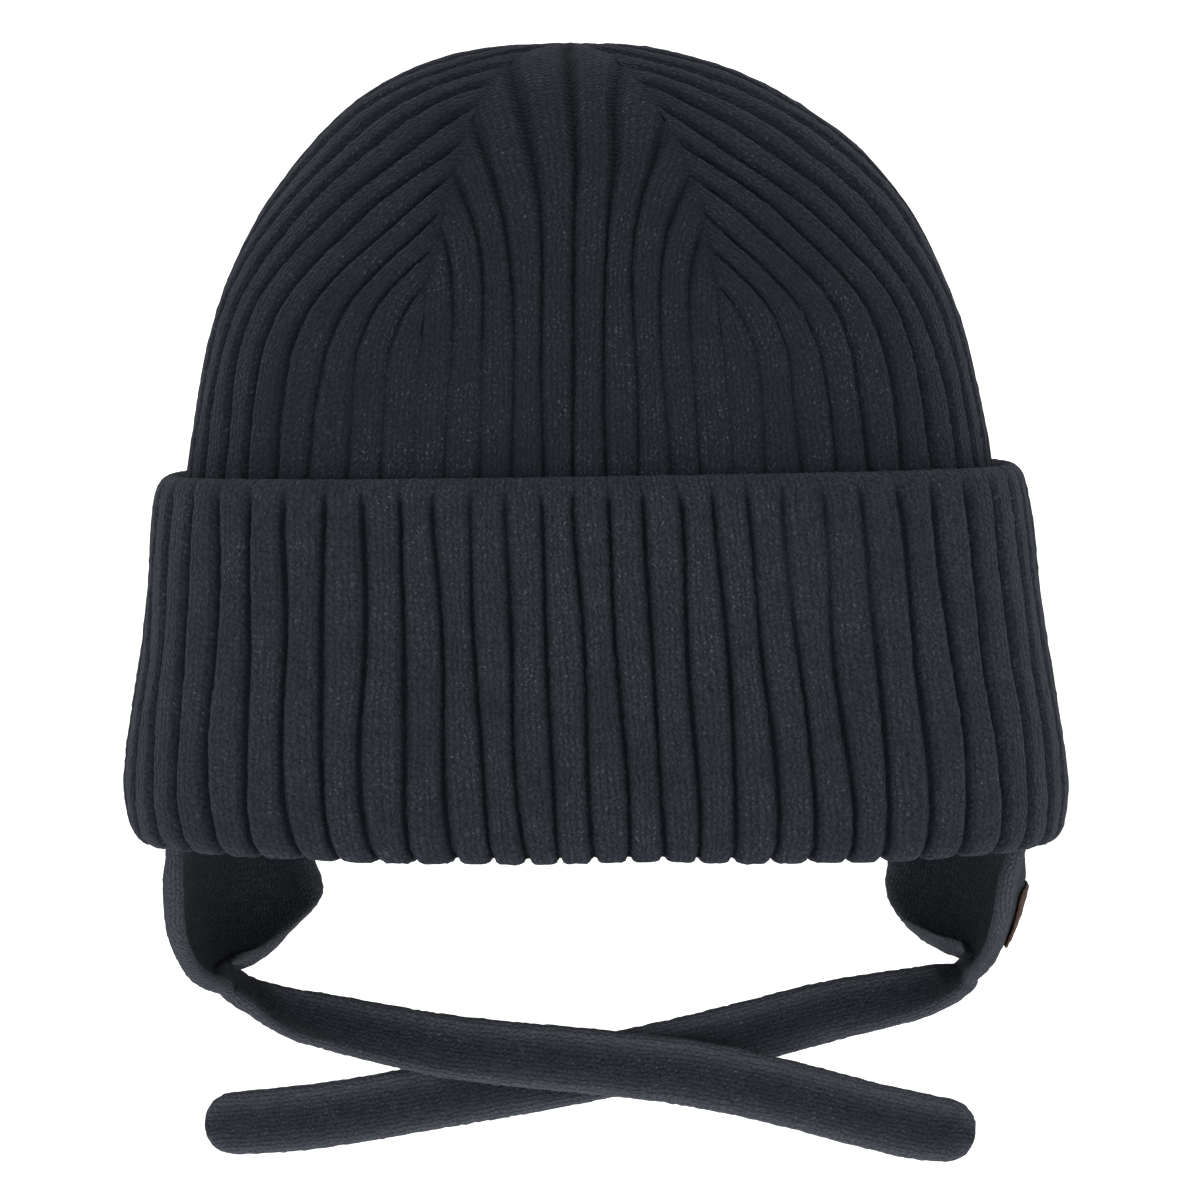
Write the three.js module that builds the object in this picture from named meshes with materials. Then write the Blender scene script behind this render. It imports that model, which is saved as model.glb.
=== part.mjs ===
// A small child's knit hat: a ribbed crown with a deep turned-up cuff, two ear flaps that come
// out from under the rim, and a flat knit tie on each flap. The ties cross in front.
//
// Millimetres, +Z up. The wearer faces -Y, so the wearer's right ear is on the -X side. The
// origin is the middle of the head opening, level with the lowest stitches of the rim.
import * as THREE from 'three';

// Overall sizes
const CROWN_TOP = 165.8;
const CROWN_BASE = 80.9;
const CROWN_HALF_WIDTH = 83.6;
const CROWN_WALL = 2.2;
const RIM_HALF_WIDTH = 98;
const CUFF_THICKNESS = 4.4;
const LAYER_GAP = 0.45;
const DEPTH_CUT = 22.5;

// Shape of the dome: how its side leans in, and the powers of its rounded outline
const DOME_LEAN = 0.13;
const DOME_HEIGHT_POWER = 2.5;
const DOME_WIDTH_POWER = 2.3;
const DOME_STEPS = 9;
const TOP_DEPTH_SHARE = 0.85;

// Seen from above the hat is a rounded rectangle at the cuff and nearly an ellipse at the top
const PLAN_POWER = 2.8;
const TOP_PLAN_POWER = 2.1;
const PLAN_STEPS = 720;

// The whole hat slumps a little to the wearer's right, most of all at its very top
const SLUMP = 0.018;
const TOP_SLUMP = 2.6;
const TOP_SLUMP_FROM = 135;

// Ribs: their number, their relief, and how much wider they are stretched at the sides
const RIBS = 64;
const CROWN_RIB_DEPTH = 1.1;
const CUFF_RIB_DEPTH = 1.5;
const SIDE_STRETCH = 0.45;
const RIB_COLUMNS = [-0.5, -0.27, 0.27];

// The crown is knitted in four sections that lose ribs along the lines between them. The second
// table has the share of the ribs that is left at a height, by the kind of the section.
const SECTIONS = [
  { centre: -0.5, ribs: 10, kind: "narrow" },
  { centre: 15.5, ribs: 22, kind: "wide" },
  { centre: 31.5, ribs: 10, kind: "narrow" },
  { centre: 47.5, ribs: 22, kind: "wide" },
];
const RIBS_LEFT = [
  { height: 102, narrow: 1, wide: 1 },
  { height: 112, narrow: 0.97, wide: 0.95 },
  { height: 119, narrow: 0.92, wide: 0.87 },
  { height: 125, narrow: 0.84, wide: 0.79 },
  { height: 132, narrow: 0.71, wide: 0.71 },
  { height: 141, narrow: 0.53, wide: 0.59 },
  { height: 154, narrow: 0.33, wide: 0.43 },
  { height: CROWN_TOP, narrow: 0.12, wide: 0.16 },
];
const SEAM_DEPTH = 0.7;
const SEAM_SNAP = 0.14;

// The crown's outside has a ring just under the cuff's top edge and a small one round its top.
const CROWN_HEM_HEIGHT = 72.8;
const TOP_RING = { angle: Math.PI / 2 - 0.05, lift: 0.99, relief: 0.6 };

// Outside of the turned-up cuff, from just under its top edge down to the fold
const CUFF_RINGS = [
  { height: 72.5, halfWidth: 90.2, relief: 0.8, notch: 0 },
  { height: 65.5, halfWidth: 91.3, relief: 1.0, notch: 0 },
  { height: 54.0, halfWidth: 92.4, relief: 1.0, notch: 0 },
  { height: 40.0, halfWidth: 94.0, relief: 1.0, notch: 0 },
  { height: 28.5, halfWidth: 96.0, relief: 1.0, notch: 0 },
  { height: 17.5, halfWidth: 97.6, relief: 1.0, notch: 0 },
  { height: 7.5, halfWidth: 97.9, relief: 1.0, notch: 0 },
  { height: 1.3, halfWidth: 96.2, relief: 0.8, notch: 1.1 },
];
const CUFF_TOP = 76.8;
const CUFF_TOP_TILT = 1.4;
const FOLD_HEIGHT = 4.6;
const CROWN_EDGE_HEIGHT = FOLD_HEIGHT + LAYER_GAP;

// Rounded top edge of the cuff, measured out from the crown's outside, and the place under it
// where the cuff's inside meets the crown
const TOP_EDGE_RINGS = [
  { below: 0.8, out: 4.6 },
  { below: 0, out: 2.4 },
  { below: 1.2, out: 0.6 },
];
const TOP_EDGE_BASE = 3;
const CONTACT_BELOW = 5;

// The fold at the rim, measured out from the crown's inside
const FOLD_RINGS = [
  { height: FOLD_HEIGHT, out: 0 },
  { height: 2.2, out: 0.4 },
  { height: 0.4, out: 2 },
  { height: 0, out: 4 },
];

// The cuff is pulled a little round the head, so its ribs lean to the wearer's left
const CUFF_LEAN = 3.6;
const CUFF_LEAN_SIDE = 4.2;

// Ear flaps: a plain-knit sheet laid against the inside of the rim
const FLAP_THICKNESS = 3.2;
const FLAP_SPAN = 9;
const WALL_CLEARANCE = 0.6;

// Rows of a flap that lie on the wall, from the depth of its front edge to that of its rear edge
const WALL_ROWS = [
  { frontDepth: -8, rearDepth: 57, height: 15 },
  { frontDepth: -8, rearDepth: 57, height: 5 },
  { frontDepth: -8, rearDepth: 57, height: -1 },
];

// The rows below run from the front edge of a flap to its rear edge, and "bow" is how far the
// middle of a row stands out from the straight line.
const FLAP_ROWS = {
  right: [
    { front: [-89.8, -8, -10], rear: [-63.3, 57, -10], bow: 12.8 },
    { front: [-89.2, -7, -22], rear: [-61.6, 56, -20], bow: 12.5 },
    { front: [-87.0, -4, -28.4], rear: [-67.6, 46, -27], bow: 8.5 },
    { front: [-83.6, 0, -33], rear: [-72.3, 32, -30.6], bow: 4 },
    { front: [-80.6, 3.8, -35.6], rear: [-77.0, 18.0, -31.4], bow: 0.8 },
  ],
  left: [
    { front: [87.0, -8, -10], rear: [65, 57, -10], bow: 13.5 },
    { front: [85.6, -7, -18.6], rear: [64.8, 56, -18.6], bow: 12 },
    { front: [84.4, -4.5, -24.4], rear: [67.8, 49, -25.2], bow: 8 },
    { front: [82.6, -0.8, -29.2], rear: [73.0, 34, -28.2], bow: 3.8 },
    { front: [81.4, 3.8, -32.5], rear: [77.9, 17.2, -29.3], bow: 0.8 },
  ],
};

// Ties: flat knit bands that leave the flaps with a quarter twist, so that a flap's front
// edge becomes the lower edge of its tie. The right one passes in front of the left one.
const TIE_THICKNESS = 3.2;
const TIE_TIP = { length: 7.8, power: 2.3, steps: 4 };
const TIE_ROWS = {
  right: [
    { lower: [-79.5, 5.3, -35.8], upper: [-76.5, 17.1, -31.6] },
    { lower: [-73.9, 4.0, -39.7], upper: [-72.4, 15.0, -33.2] },
    { lower: [-69.8, 2.4, -42.4], upper: [-68.5, 12.4, -33.7] },
    { lower: [-64.7, 0.2, -44.6], upper: [-63.9, 9.0, -34.2] },
    { lower: [-58.3, -2.4, -46.0], upper: [-57.7, 5.2, -34.7] },
    { lower: [-45.4, -7.0, -48.4], upper: [-45.0, -2.0, -35.9] },
    { lower: [-32.8, -11.0, -50.4], upper: [-32.4, -8.0, -37.3] },
    { lower: [-18.0, -14.0, -51.9], upper: [-17.5, -12.8, -38.4] },
    { lower: [-1.5, -16.3, -53.2], upper: [-0.9, -16.0, -39.5] },
    { lower: [21.0, -17.6, -56.0], upper: [22.6, -17.6, -42.1] },
    { lower: [40.2, -17.0, -60.3], upper: [42.8, -17.0, -46.6] },
    { lower: [55.0, -15.0, -64.5], upper: [58.2, -15.0, -50.9] },
    { lower: [66.4, -13.0, -67.3], upper: [69.2, -13.0, -53.6] },
    { lower: [70.5, -12.2, -67.8], upper: [72.6, -12.2, -54.4] },
  ],
  left: [
    { lower: [80.3, 5.3, -33.6], upper: [76.6, 16.5, -30.3] },
    { lower: [77.2, 4.2, -36.6], upper: [73.7, 14.6, -30.1] },
    { lower: [73.3, 3.0, -38.4], upper: [70.5, 12.4, -29.7] },
    { lower: [68.1, 1.2, -40.0], upper: [66.4, 9.2, -29.8] },
    { lower: [61.7, -1.2, -41.2], upper: [60.6, 5.4, -30.0] },
    { lower: [48.9, -5.8, -43.6], upper: [47.7, -1.8, -31.2] },
    { lower: [36.2, -9.4, -46.7], upper: [34.9, -7.0, -33.7] },
    { lower: [21.5, -11.2, -50.4], upper: [19.9, -10.4, -37.1] },
    { lower: [0.6, -10.8, -55.1], upper: [-0.8, -10.8, -41.6] },
    { lower: [-20.3, -8.2, -59.4], upper: [-21.9, -8.2, -45.9] },
    { lower: [-37.2, -5.2, -62.7], upper: [-38.8, -5.2, -49.0] },
    { lower: [-54.1, -2.5, -65.9], upper: [-55.7, -2.5, -52.2] },
    { lower: [-69.2, 0.0, -67.8], upper: [-70.9, 0.0, -54.2] },
    { lower: [-74.7, 0.8, -68.1], upper: [-75.3, 0.8, -54.7] },
  ],
};

// A bare leather patch sewn on the outer face of the left flap, near its front edge. Its
// corners are places on the rows and columns of the flap's face.
const PATCH_ROWS = [3.2, 4, 5];
const PATCH_COLUMNS = [0.8, 1, 2, 3, 3.6];
const PATCH_THICKNESS = 1;
const PATCH_GAP = 0.35;

// Colours of the knit and the leather
const KNIT_COLOUR = 0x24272d;
const FLAP_COLOUR = 0x202226;
const LEATHER_COLOUR = 0x5a3a28;

const mix = (from, to, share) => from + (to - from) * share;
const smooth = (share) => share * share * (3 - 2 * share);

// Sideways shift of the hat at a height
function slump(height) {
  const top = Math.max(0, height - TOP_SLUMP_FROM) / (CROWN_TOP - TOP_SLUMP_FROM);
  return -SLUMP * height - TOP_SLUMP * smooth(Math.min(1, top));
}

// Collects triangles, joins the corners that coincide and drops the faces that collapse.
class Skin {
  constructor() {
    this.positions = [];
    this.faces = [];
    this.known = new Map();
  }

  corner(point) {
    const key = point.toArray().map((value) => Math.round(value * 5000)).join(' ');
    if (!this.known.has(key)) {
      this.known.set(key, this.positions.length / 3);
      this.positions.push(point.x, point.y, point.z);
    }
    return this.known.get(key);
  }

  triangle(a, b, c) {
    const [i, j, k] = [this.corner(a), this.corner(b), this.corner(c)];
    if (i !== j && j !== k && k !== i) this.faces.push(i, j, k);
  }

  quad(a, b, c, d) {
    this.triangle(a, b, c);
    this.triangle(a, c, d);
  }

  // Joins two closed rings with as many points each. The faces look away from the axis when
  // both rings run counterclockwise seen from above and the first is the lower one.
  band(lower, upper) {
    lower.forEach((point, index) => {
      const next = (index + 1) % lower.length;
      this.quad(point, lower[next], upper[next], upper[index]);
    });
  }

  // Joins a ring of three points for each point of a plainer ring.
  transition(fine, plain, flip) {
    const turn = (a, b, c) => (flip ? this.triangle(a, c, b) : this.triangle(a, b, c));
    plain.forEach((point, index) => {
      const nextPlain = plain[(index + 1) % plain.length];
      const [a, b, c] = [0, 1, 2].map((step) => fine[index * 3 + step]);
      const d = fine[(index * 3 + 3) % fine.length];
      turn(a, b, point);
      turn(b, c, point);
      turn(c, nextPlain, point);
      turn(c, d, nextPlain);
    });
  }

  cap(ring, middle, flip) {
    ring.forEach((point, index) => {
      const next = ring[(index + 1) % ring.length];
      if (flip) this.triangle(next, point, middle);
      else this.triangle(point, next, middle);
    });
  }

  geometry() {
    const geometry = new THREE.BufferGeometry();
    const positions = new THREE.Float32BufferAttribute(this.positions, 3);
    geometry.setAttribute('position', positions);
    geometry.setIndex(this.faces);
    geometry.computeVertexNormals();
    return geometry;
  }
}

// The closed curve |x/a|^p + |y/b|^p = 1, read by its share of arc length. It starts at the
// middle of the front and runs towards +X.
class Plan {
  constructor(halfWidth, halfDepth, power) {
    this.points = [];
    this.lengths = [0];
    this.halfWidth = halfWidth;
    this.halfDepth = halfDepth;
    this.power = power;
    for (let step = 0; step <= PLAN_STEPS; step += 1) {
      const angle = (step / PLAN_STEPS) * 2 * Math.PI;
      const [sine, cosine] = [Math.sin(angle), Math.cos(angle)];
      const x = halfWidth * Math.sign(sine) * Math.abs(sine) ** (2 / power);
      const y = -halfDepth * Math.sign(cosine) * Math.abs(cosine) ** (2 / power);
      this.points.push([x, y]);
      if (step > 0) {
        const [lastX, lastY] = this.points[step - 1];
        this.lengths.push(this.lengths[step - 1] + Math.hypot(x - lastX, y - lastY));
      }
    }
    this.length = this.lengths[PLAN_STEPS];
  }

  at(share) {
    const wanted = (share - Math.floor(share)) * this.length;
    let low = 0;
    let high = PLAN_STEPS;
    while (high - low > 1) {
      const middle = (low + high) >> 1;
      if (this.lengths[middle] <= wanted) low = middle;
      else high = middle;
    }
    const part = (wanted - this.lengths[low]) / (this.lengths[high] - this.lengths[low]);
    const x = mix(this.points[low][0], this.points[high][0], part);
    const y = mix(this.points[low][1], this.points[high][1], part);
    const slope = (value, half) =>
      (Math.sign(value) * Math.abs(value / half) ** (this.power - 1)) / half;
    const normal = new THREE.Vector2(slope(x, this.halfWidth), slope(y, this.halfDepth));
    return { x, y, normal: normal.normalize() };
  }
}

// Share of the way round for a rib number, with the ribs stretched wider at the two sides.
function wayRound(rib) {
  const turn = (((rib % RIBS) + RIBS) % RIBS) / RIBS;
  const wave = (SIDE_STRETCH * Math.sin(4 * Math.PI * turn)) / (8 * Math.PI);
  return (turn * (1 + SIDE_STRETCH / 2) - wave) / (1 + SIDE_STRETCH / 2);
}

// Share of a section's ribs that is left at a height, read between the rows of the table
function ribsLeftAt(height, kind) {
  const upper = RIBS_LEFT.findIndex((row) => row.height > height);
  if (upper === 0) return 1;
  if (upper < 0) return RIBS_LEFT.at(-1)[kind];
  const [low, high] = [RIBS_LEFT[upper - 1], RIBS_LEFT[upper]];
  return mix(low[kind], high[kind], (height - low.height) / (high.height - low.height));
}

// Outline of the crown's outside at an angle up the dome, 0 at its base and 90 degrees on top
function domeOutline(angle, inset) {
  const rise = Math.sin(angle) ** (2 / DOME_HEIGHT_POWER);
  const height = CROWN_BASE + rise * (CROWN_TOP - CROWN_BASE - inset);
  const base = CROWN_HALF_WIDTH - inset;
  const halfWidth = base * (1 - DOME_LEAN * rise) * Math.cos(angle) ** (2 / DOME_WIDTH_POWER);
  const depthShare = mix((base - DEPTH_CUT) / base, TOP_DEPTH_SHARE, rise * rise);
  const power = mix(PLAN_POWER, TOP_PLAN_POWER, rise * rise);
  return { height, halfWidth, halfDepth: halfWidth * depthShare, power };
}

// Half width of the crown's outside where the cuff hides it, widening towards the rim
const CROWN_EDGE_HALF_WIDTH = RIM_HALF_WIDTH - CUFF_THICKNESS - LAYER_GAP;
function hiddenHalfWidth(height) {
  const share = (CROWN_BASE - height) / (CROWN_BASE - CROWN_EDGE_HEIGHT);
  return mix(CROWN_HALF_WIDTH, CROWN_EDGE_HALF_WIDTH, share);
}

function bandOutline(height, halfWidth) {
  return { height, halfWidth, halfDepth: halfWidth - DEPTH_CUT, power: PLAN_POWER };
}

// A plain ring with one point for each rib's left groove, from a first rib on
function plainRing(outline, firstRib = 0) {
  const plan = new Plan(outline.halfWidth, outline.halfDepth, outline.power);
  return Array.from({ length: RIBS }, (_, rib) => {
    const { x, y } = plan.at(wayRound(firstRib + rib - 0.5));
    return new THREE.Vector3(x + slump(outline.height), y, outline.height);
  });
}

// A ring of the crown's outside. Where the dome has narrowed, fewer ribs are left, and a
// column that would lie past its section's edge sits on the line between the sections.
function crownRing(outline, lift, relief) {
  const plan = new Plan(outline.halfWidth, outline.halfDepth, outline.power);
  const ring = [];
  for (const section of SECTIONS) {
    const edge = section.ribs / 2;
    const ribsLeft = ribsLeftAt(outline.height, section.kind);
    const left = edge * ribsLeft;
    for (let rib = 0; rib < section.ribs; rib += 1) {
      for (const column of RIB_COLUMNS) {
        const place = rib + column - (section.ribs - 1) / 2;
        const inside = Math.abs(place) < left - SEAM_SNAP;
        const across = inside ? place / ribsLeft : Math.sign(place) * edge;
        const groove = column === RIB_COLUMNS[0] ? CROWN_RIB_DEPTH : 0;
        const depth = (inside || ribsLeft === 1 ? groove : SEAM_DEPTH) * relief;
        const { x, y, normal } = plan.at(wayRound(section.centre + across));
        const flat = Math.sqrt(1 - lift * lift);
        const out = new THREE.Vector3(normal.x * flat, normal.y * flat, lift);
        const point = new THREE.Vector3(x + slump(outline.height), y, outline.height);
        ring.push(point.addScaledVector(out, -depth));
      }
    }
  }
  return ring;
}

function makeCrown() {
  const skin = new Skin();
  const angles = Array.from({ length: DOME_STEPS }, (_, step) => (step * Math.PI) / 2 / DOME_STEPS);
  const rings = [
    crownRing(bandOutline(CROWN_EDGE_HEIGHT, CROWN_EDGE_HALF_WIDTH), 0, 0),
    crownRing(bandOutline(CROWN_HEM_HEIGHT, hiddenHalfWidth(CROWN_HEM_HEIGHT)), 0, 1),
    ...angles.map((angle) => crownRing(domeOutline(angle, 0), Math.sin(angle), 1)),
    crownRing(domeOutline(TOP_RING.angle, 0), TOP_RING.lift, TOP_RING.relief),
  ];
  rings.slice(1).forEach((ring, index) => skin.band(rings[index], ring));
  const topPoint = (height) => new THREE.Vector3(slump(height), 0, height);
  skin.cap(rings.at(-1), topPoint(CROWN_TOP), false);

  const firstRib = SECTIONS[0].centre - (SECTIONS[0].ribs - 1) / 2;
  const edge = bandOutline(CROWN_EDGE_HEIGHT, CROWN_EDGE_HALF_WIDTH - CROWN_WALL);
  const inner = [
    plainRing(edge, firstRib),
    ...angles.map((angle) => plainRing(domeOutline(angle, CROWN_WALL), firstRib)),
  ];
  inner.slice(1).forEach((ring, index) => skin.band(ring, inner[index]));
  skin.cap(inner.at(-1), topPoint(CROWN_TOP - CROWN_WALL), true);
  skin.transition(rings[0], inner[0], true);
  return skin.geometry();
}

// How far round the head the cuff's stitches are pulled at a rib and height, in ribs
function cuffLean(rib, height, length) {
  const turn = (2 * Math.PI * rib) / RIBS;
  const front = (1 + Math.cos(turn)) / 2;
  const millimetres = front * (CUFF_LEAN - CUFF_LEAN_SIDE * Math.sin(turn));
  return (millimetres * (1 - height / CUFF_TOP) * RIBS) / length;
}

// The cuff's top edge stands a little higher on the wearer's left.
const topTilt = (x, height) => CUFF_TOP_TILT * (x / RIM_HALF_WIDTH) * smooth(height / CUFF_TOP);

function cuffRing({ height, halfWidth, relief, notch }) {
  const outline = bandOutline(height, halfWidth);
  const plan = new Plan(outline.halfWidth, outline.halfDepth, outline.power);
  const ring = [];
  for (let rib = 0; rib < RIBS; rib += 1) {
    for (const column of RIB_COLUMNS) {
      const place = rib + column;
      const lean = cuffLean(place, height, plan.length);
      const { x, y, normal } = plan.at(wayRound(place + lean));
      const groove = column === RIB_COLUMNS[0] ? 1 : 0;
      const depth = groove * relief * CUFF_RIB_DEPTH;
      const level = height + groove * notch + topTilt(x, height);
      const shifted = x + slump(height);
      ring.push(new THREE.Vector3(shifted - normal.x * depth, y - normal.y * depth, level));
    }
  }
  return ring;
}

function makeCuff() {
  const skin = new Skin();
  const outer = CUFF_RINGS.map(cuffRing);
  outer.slice(1).forEach((ring, index) => skin.band(ring, outer[index]));

  const tilted = (height, halfWidth) => {
    const ring = plainRing(bandOutline(height, halfWidth));
    ring.forEach((point) => point.setZ(point.z + topTilt(point.x, height)));
    return ring;
  };
  const topInside = hiddenHalfWidth(CUFF_TOP - TOP_EDGE_BASE) + LAYER_GAP;
  const contact = CUFF_TOP - CONTACT_BELOW;
  const innerLip = CROWN_EDGE_HALF_WIDTH - CROWN_WALL;
  const plain = [
    ...TOP_EDGE_RINGS.map(({ below, out }) => tilted(CUFF_TOP - below, topInside + out)),
    plainRing(bandOutline(contact, hiddenHalfWidth(contact) + LAYER_GAP)),
    plainRing(bandOutline(FOLD_HEIGHT, CROWN_EDGE_HALF_WIDTH + LAYER_GAP)),
    ...FOLD_RINGS.map(({ height, out }) => plainRing(bandOutline(height, innerLip + out))),
  ];
  skin.transition(outer[0], plain[0], false);
  plain.slice(1).forEach((ring, index) => skin.band(plain[index], ring));
  skin.transition(outer.at(-1), plain.at(-1), true);
  return skin.geometry();
}

// The inside of the rim at a height, where a flap lies against the wall
function wallPlan(height) {
  const inside = hiddenHalfWidth(Math.max(height, CROWN_EDGE_HEIGHT)) - CROWN_WALL;
  const halfWidth = inside - WALL_CLEARANCE;
  return new Plan(halfWidth, halfWidth - DEPTH_CUT, PLAN_POWER);
}

// Share of the way round a plan for a point at depth y on one side
function shareAtDepth(plan, y, side) {
  let low = 0;
  let high = 0.5;
  for (let step = 0; step < 40; step += 1) {
    const middle = (low + high) / 2;
    if (plan.at(middle).y < y) low = middle;
    else high = middle;
  }
  return side > 0 ? low : 1 - low;
}

// Shares of the way across a flap at which its rows have points
const FLAP_SHARES = Array.from({ length: FLAP_SPAN + 1 }, (_, step) => step / FLAP_SPAN);

// Points of a flap's row that lies on the wall
function wallRow({ frontDepth, rearDepth, height }, side) {
  const wall = wallPlan(height);
  const [from, to] = [frontDepth, rearDepth].map((depth) => shareAtDepth(wall, depth, side));
  return FLAP_SHARES.map((across) => {
    const { x, y } = wall.at(mix(from, to, across));
    return new THREE.Vector3(x, y, height);
  });
}

// Points of a flap's row below the rim: a straight line that bows outwards as a parabola
function bowedRow({ front, rear, bow }, side) {
  const start = new THREE.Vector3(...front);
  const end = new THREE.Vector3(...rear);
  const out = new THREE.Vector3(end.y - start.y, start.x - end.x, 0).normalize();
  out.multiplyScalar(Math.sign(out.x) * side * bow * 4);
  return FLAP_SHARES.map((across) =>
    start.clone().lerp(end, across).addScaledVector(out, across * (1 - across)),
  );
}

// Outer face of a flap, as rows of points from its front edge to its rear edge
function flapFace(rows, side) {
  return [
    ...WALL_ROWS.map((row) => wallRow(row, side)),
    ...rows.map((row) => bowedRow(row, side)),
  ];
}

// Moves a face inwards along its own normals by a distance.
function insetFace(face, distance, side) {
  return face.map((row, i) =>
    row.map((point, j) => {
      const across = new THREE.Vector3().subVectors(
        row[Math.min(j + 1, row.length - 1)],
        row[Math.max(j - 1, 0)],
      );
      const down = new THREE.Vector3().subVectors(
        face[Math.min(i + 1, face.length - 1)][j],
        face[Math.max(i - 1, 0)][j],
      );
      const normal = new THREE.Vector3().crossVectors(across, down).normalize();
      return point.clone().addScaledVector(normal, side * distance);
    }),
  );
}

// A closed slab between two faces of rows and columns
function slab(outer, inner, flip) {
  const skin = new Skin();
  const quad = (a, b, c, d) => (flip ? skin.quad(a, d, c, b) : skin.quad(a, b, c, d));
  const rows = outer.length - 1;
  const columns = outer[0].length - 1;
  for (let i = 0; i < rows; i += 1) {
    for (let j = 0; j < columns; j += 1) {
      quad(outer[i][j], outer[i][j + 1], outer[i + 1][j + 1], outer[i + 1][j]);
      quad(inner[i][j], inner[i + 1][j], inner[i + 1][j + 1], inner[i][j + 1]);
    }
    quad(outer[i + 1][0], inner[i + 1][0], inner[i][0], outer[i][0]);
    quad(outer[i][columns], inner[i][columns], inner[i + 1][columns], outer[i + 1][columns]);
  }
  for (let j = 0; j < columns; j += 1) {
    quad(outer[0][j], inner[0][j], inner[0][j + 1], outer[0][j + 1]);
    quad(outer[rows][j + 1], inner[rows][j + 1], inner[rows][j], outer[rows][j]);
  }
  return skin.geometry();
}

function makeFlap(rows, side) {
  const outer = flapFace(rows, side);
  return slab(outer, insetFace(outer, FLAP_THICKNESS, side), side > 0);
}

// One six-sided section of a tie between its lower and upper edge
function tieSection(lower, upper, along, thickness) {
  const across = new THREE.Vector3().subVectors(upper, lower);
  const out = new THREE.Vector3().crossVectors(across, along).normalize();
  const middle = new THREE.Vector3().addVectors(lower, upper).multiplyScalar(0.5);
  const outline = [[-0.5, 0], [-0.37, 0.5], [0.37, 0.5], [0.5, 0], [0.37, -0.5], [-0.37, -0.5]];
  return outline.map(([share, layer]) =>
    middle.clone().addScaledVector(across, share).addScaledVector(out, layer * thickness),
  );
}

// A tie: sections along its table of rows, then a blunt end that follows a superellipse
function makeTie(rows) {
  const lowers = rows.map((row) => new THREE.Vector3(...row.lower));
  const uppers = rows.map((row) => new THREE.Vector3(...row.upper));
  const middles = lowers.map((point, index) => point.clone().lerp(uppers[index], 0.5));
  const alongs = middles.map((_, index) => {
    const next = middles[Math.min(index + 1, middles.length - 1)];
    return next.clone().sub(middles[Math.max(index - 1, 0)]).normalize();
  });
  const sections = middles.map((_, index) =>
    tieSection(lowers[index], uppers[index], alongs[index], TIE_THICKNESS),
  );
  const across = uppers.at(-1).clone().sub(lowers.at(-1));
  for (let step = 1; step <= TIE_TIP.steps; step += 1) {
    const angle = (step / (TIE_TIP.steps + 0.5)) * (Math.PI / 2);
    const reach = TIE_TIP.length * Math.sin(angle) ** (2 / TIE_TIP.power);
    const half = Math.cos(angle) ** (2 / TIE_TIP.power) / 2;
    const middle = middles.at(-1).clone().addScaledVector(alongs.at(-1), reach);
    const lower = middle.clone().addScaledVector(across, -half);
    const upper = middle.clone().addScaledVector(across, half);
    sections.push(tieSection(lower, upper, alongs.at(-1), TIE_THICKNESS * Math.sqrt(Math.cos(angle))));
  }
  const skin = new Skin();
  sections.slice(1).forEach((section, index) => skin.band(sections[index], section));
  const middleOf = (ring) =>
    ring.reduce((sum, point) => sum.add(point), new THREE.Vector3()).divideScalar(ring.length);
  skin.cap(sections[0], middleOf(sections[0]), true);
  skin.cap(sections.at(-1), middleOf(sections.at(-1)), false);
  return skin.geometry();
}

// The patch follows the outer face of the flap, read between its rows and columns.
function makePatch(rows, side) {
  const face = insetFace(flapFace(rows, side), -PATCH_GAP, side);
  const between = (points, place) =>
    points[Math.floor(place)].clone().lerp(points[Math.ceil(place)], place % 1);
  const inner = PATCH_ROWS.map((row) =>
    PATCH_COLUMNS.map((column) => {
      const upper = between(face[Math.floor(row)], column);
      return upper.lerp(between(face[Math.ceil(row)], column), row % 1);
    }),
  );
  return slab(insetFace(inner, -PATCH_THICKNESS, side), inner, side > 0);
}

const hat = new THREE.Group();

function addPiece(name, geometry, colour, roughness) {
  const material = new THREE.MeshStandardMaterial({ color: colour, roughness, metalness: 0 });
  const mesh = new THREE.Mesh(geometry, material);
  mesh.name = name;
  hat.add(mesh);
}

addPiece('crown', makeCrown(), KNIT_COLOUR, 0.95);
addPiece('cuff', makeCuff(), KNIT_COLOUR, 0.95);
addPiece('ear_flap_right', makeFlap(FLAP_ROWS.right, -1), FLAP_COLOUR, 0.95);
addPiece('ear_flap_left', makeFlap(FLAP_ROWS.left, 1), FLAP_COLOUR, 0.95);
addPiece('tie_right', makeTie(TIE_ROWS.right), FLAP_COLOUR, 0.95);
addPiece('tie_left', makeTie(TIE_ROWS.left), FLAP_COLOUR, 0.95);
addPiece('label_patch', makePatch(FLAP_ROWS.left, 1), LEATHER_COLOUR, 0.6);

export default hat;
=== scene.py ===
"""A small child's knit hat, dressed for a picture: ribbed crown, turned-up cuff, ear flaps that run
into flat ties, a bare leather patch, and a plain white studio.

The wearer faces -Y and +Z is up. The shape functions work in millimetres on whole numpy arrays,
and add_piece turns the result into metres. Every surface is a grid of rows and columns. Its UV map
counts stitches: U is the number of wales across, V the number of courses along."""

import math
from collections import namedtuple

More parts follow.
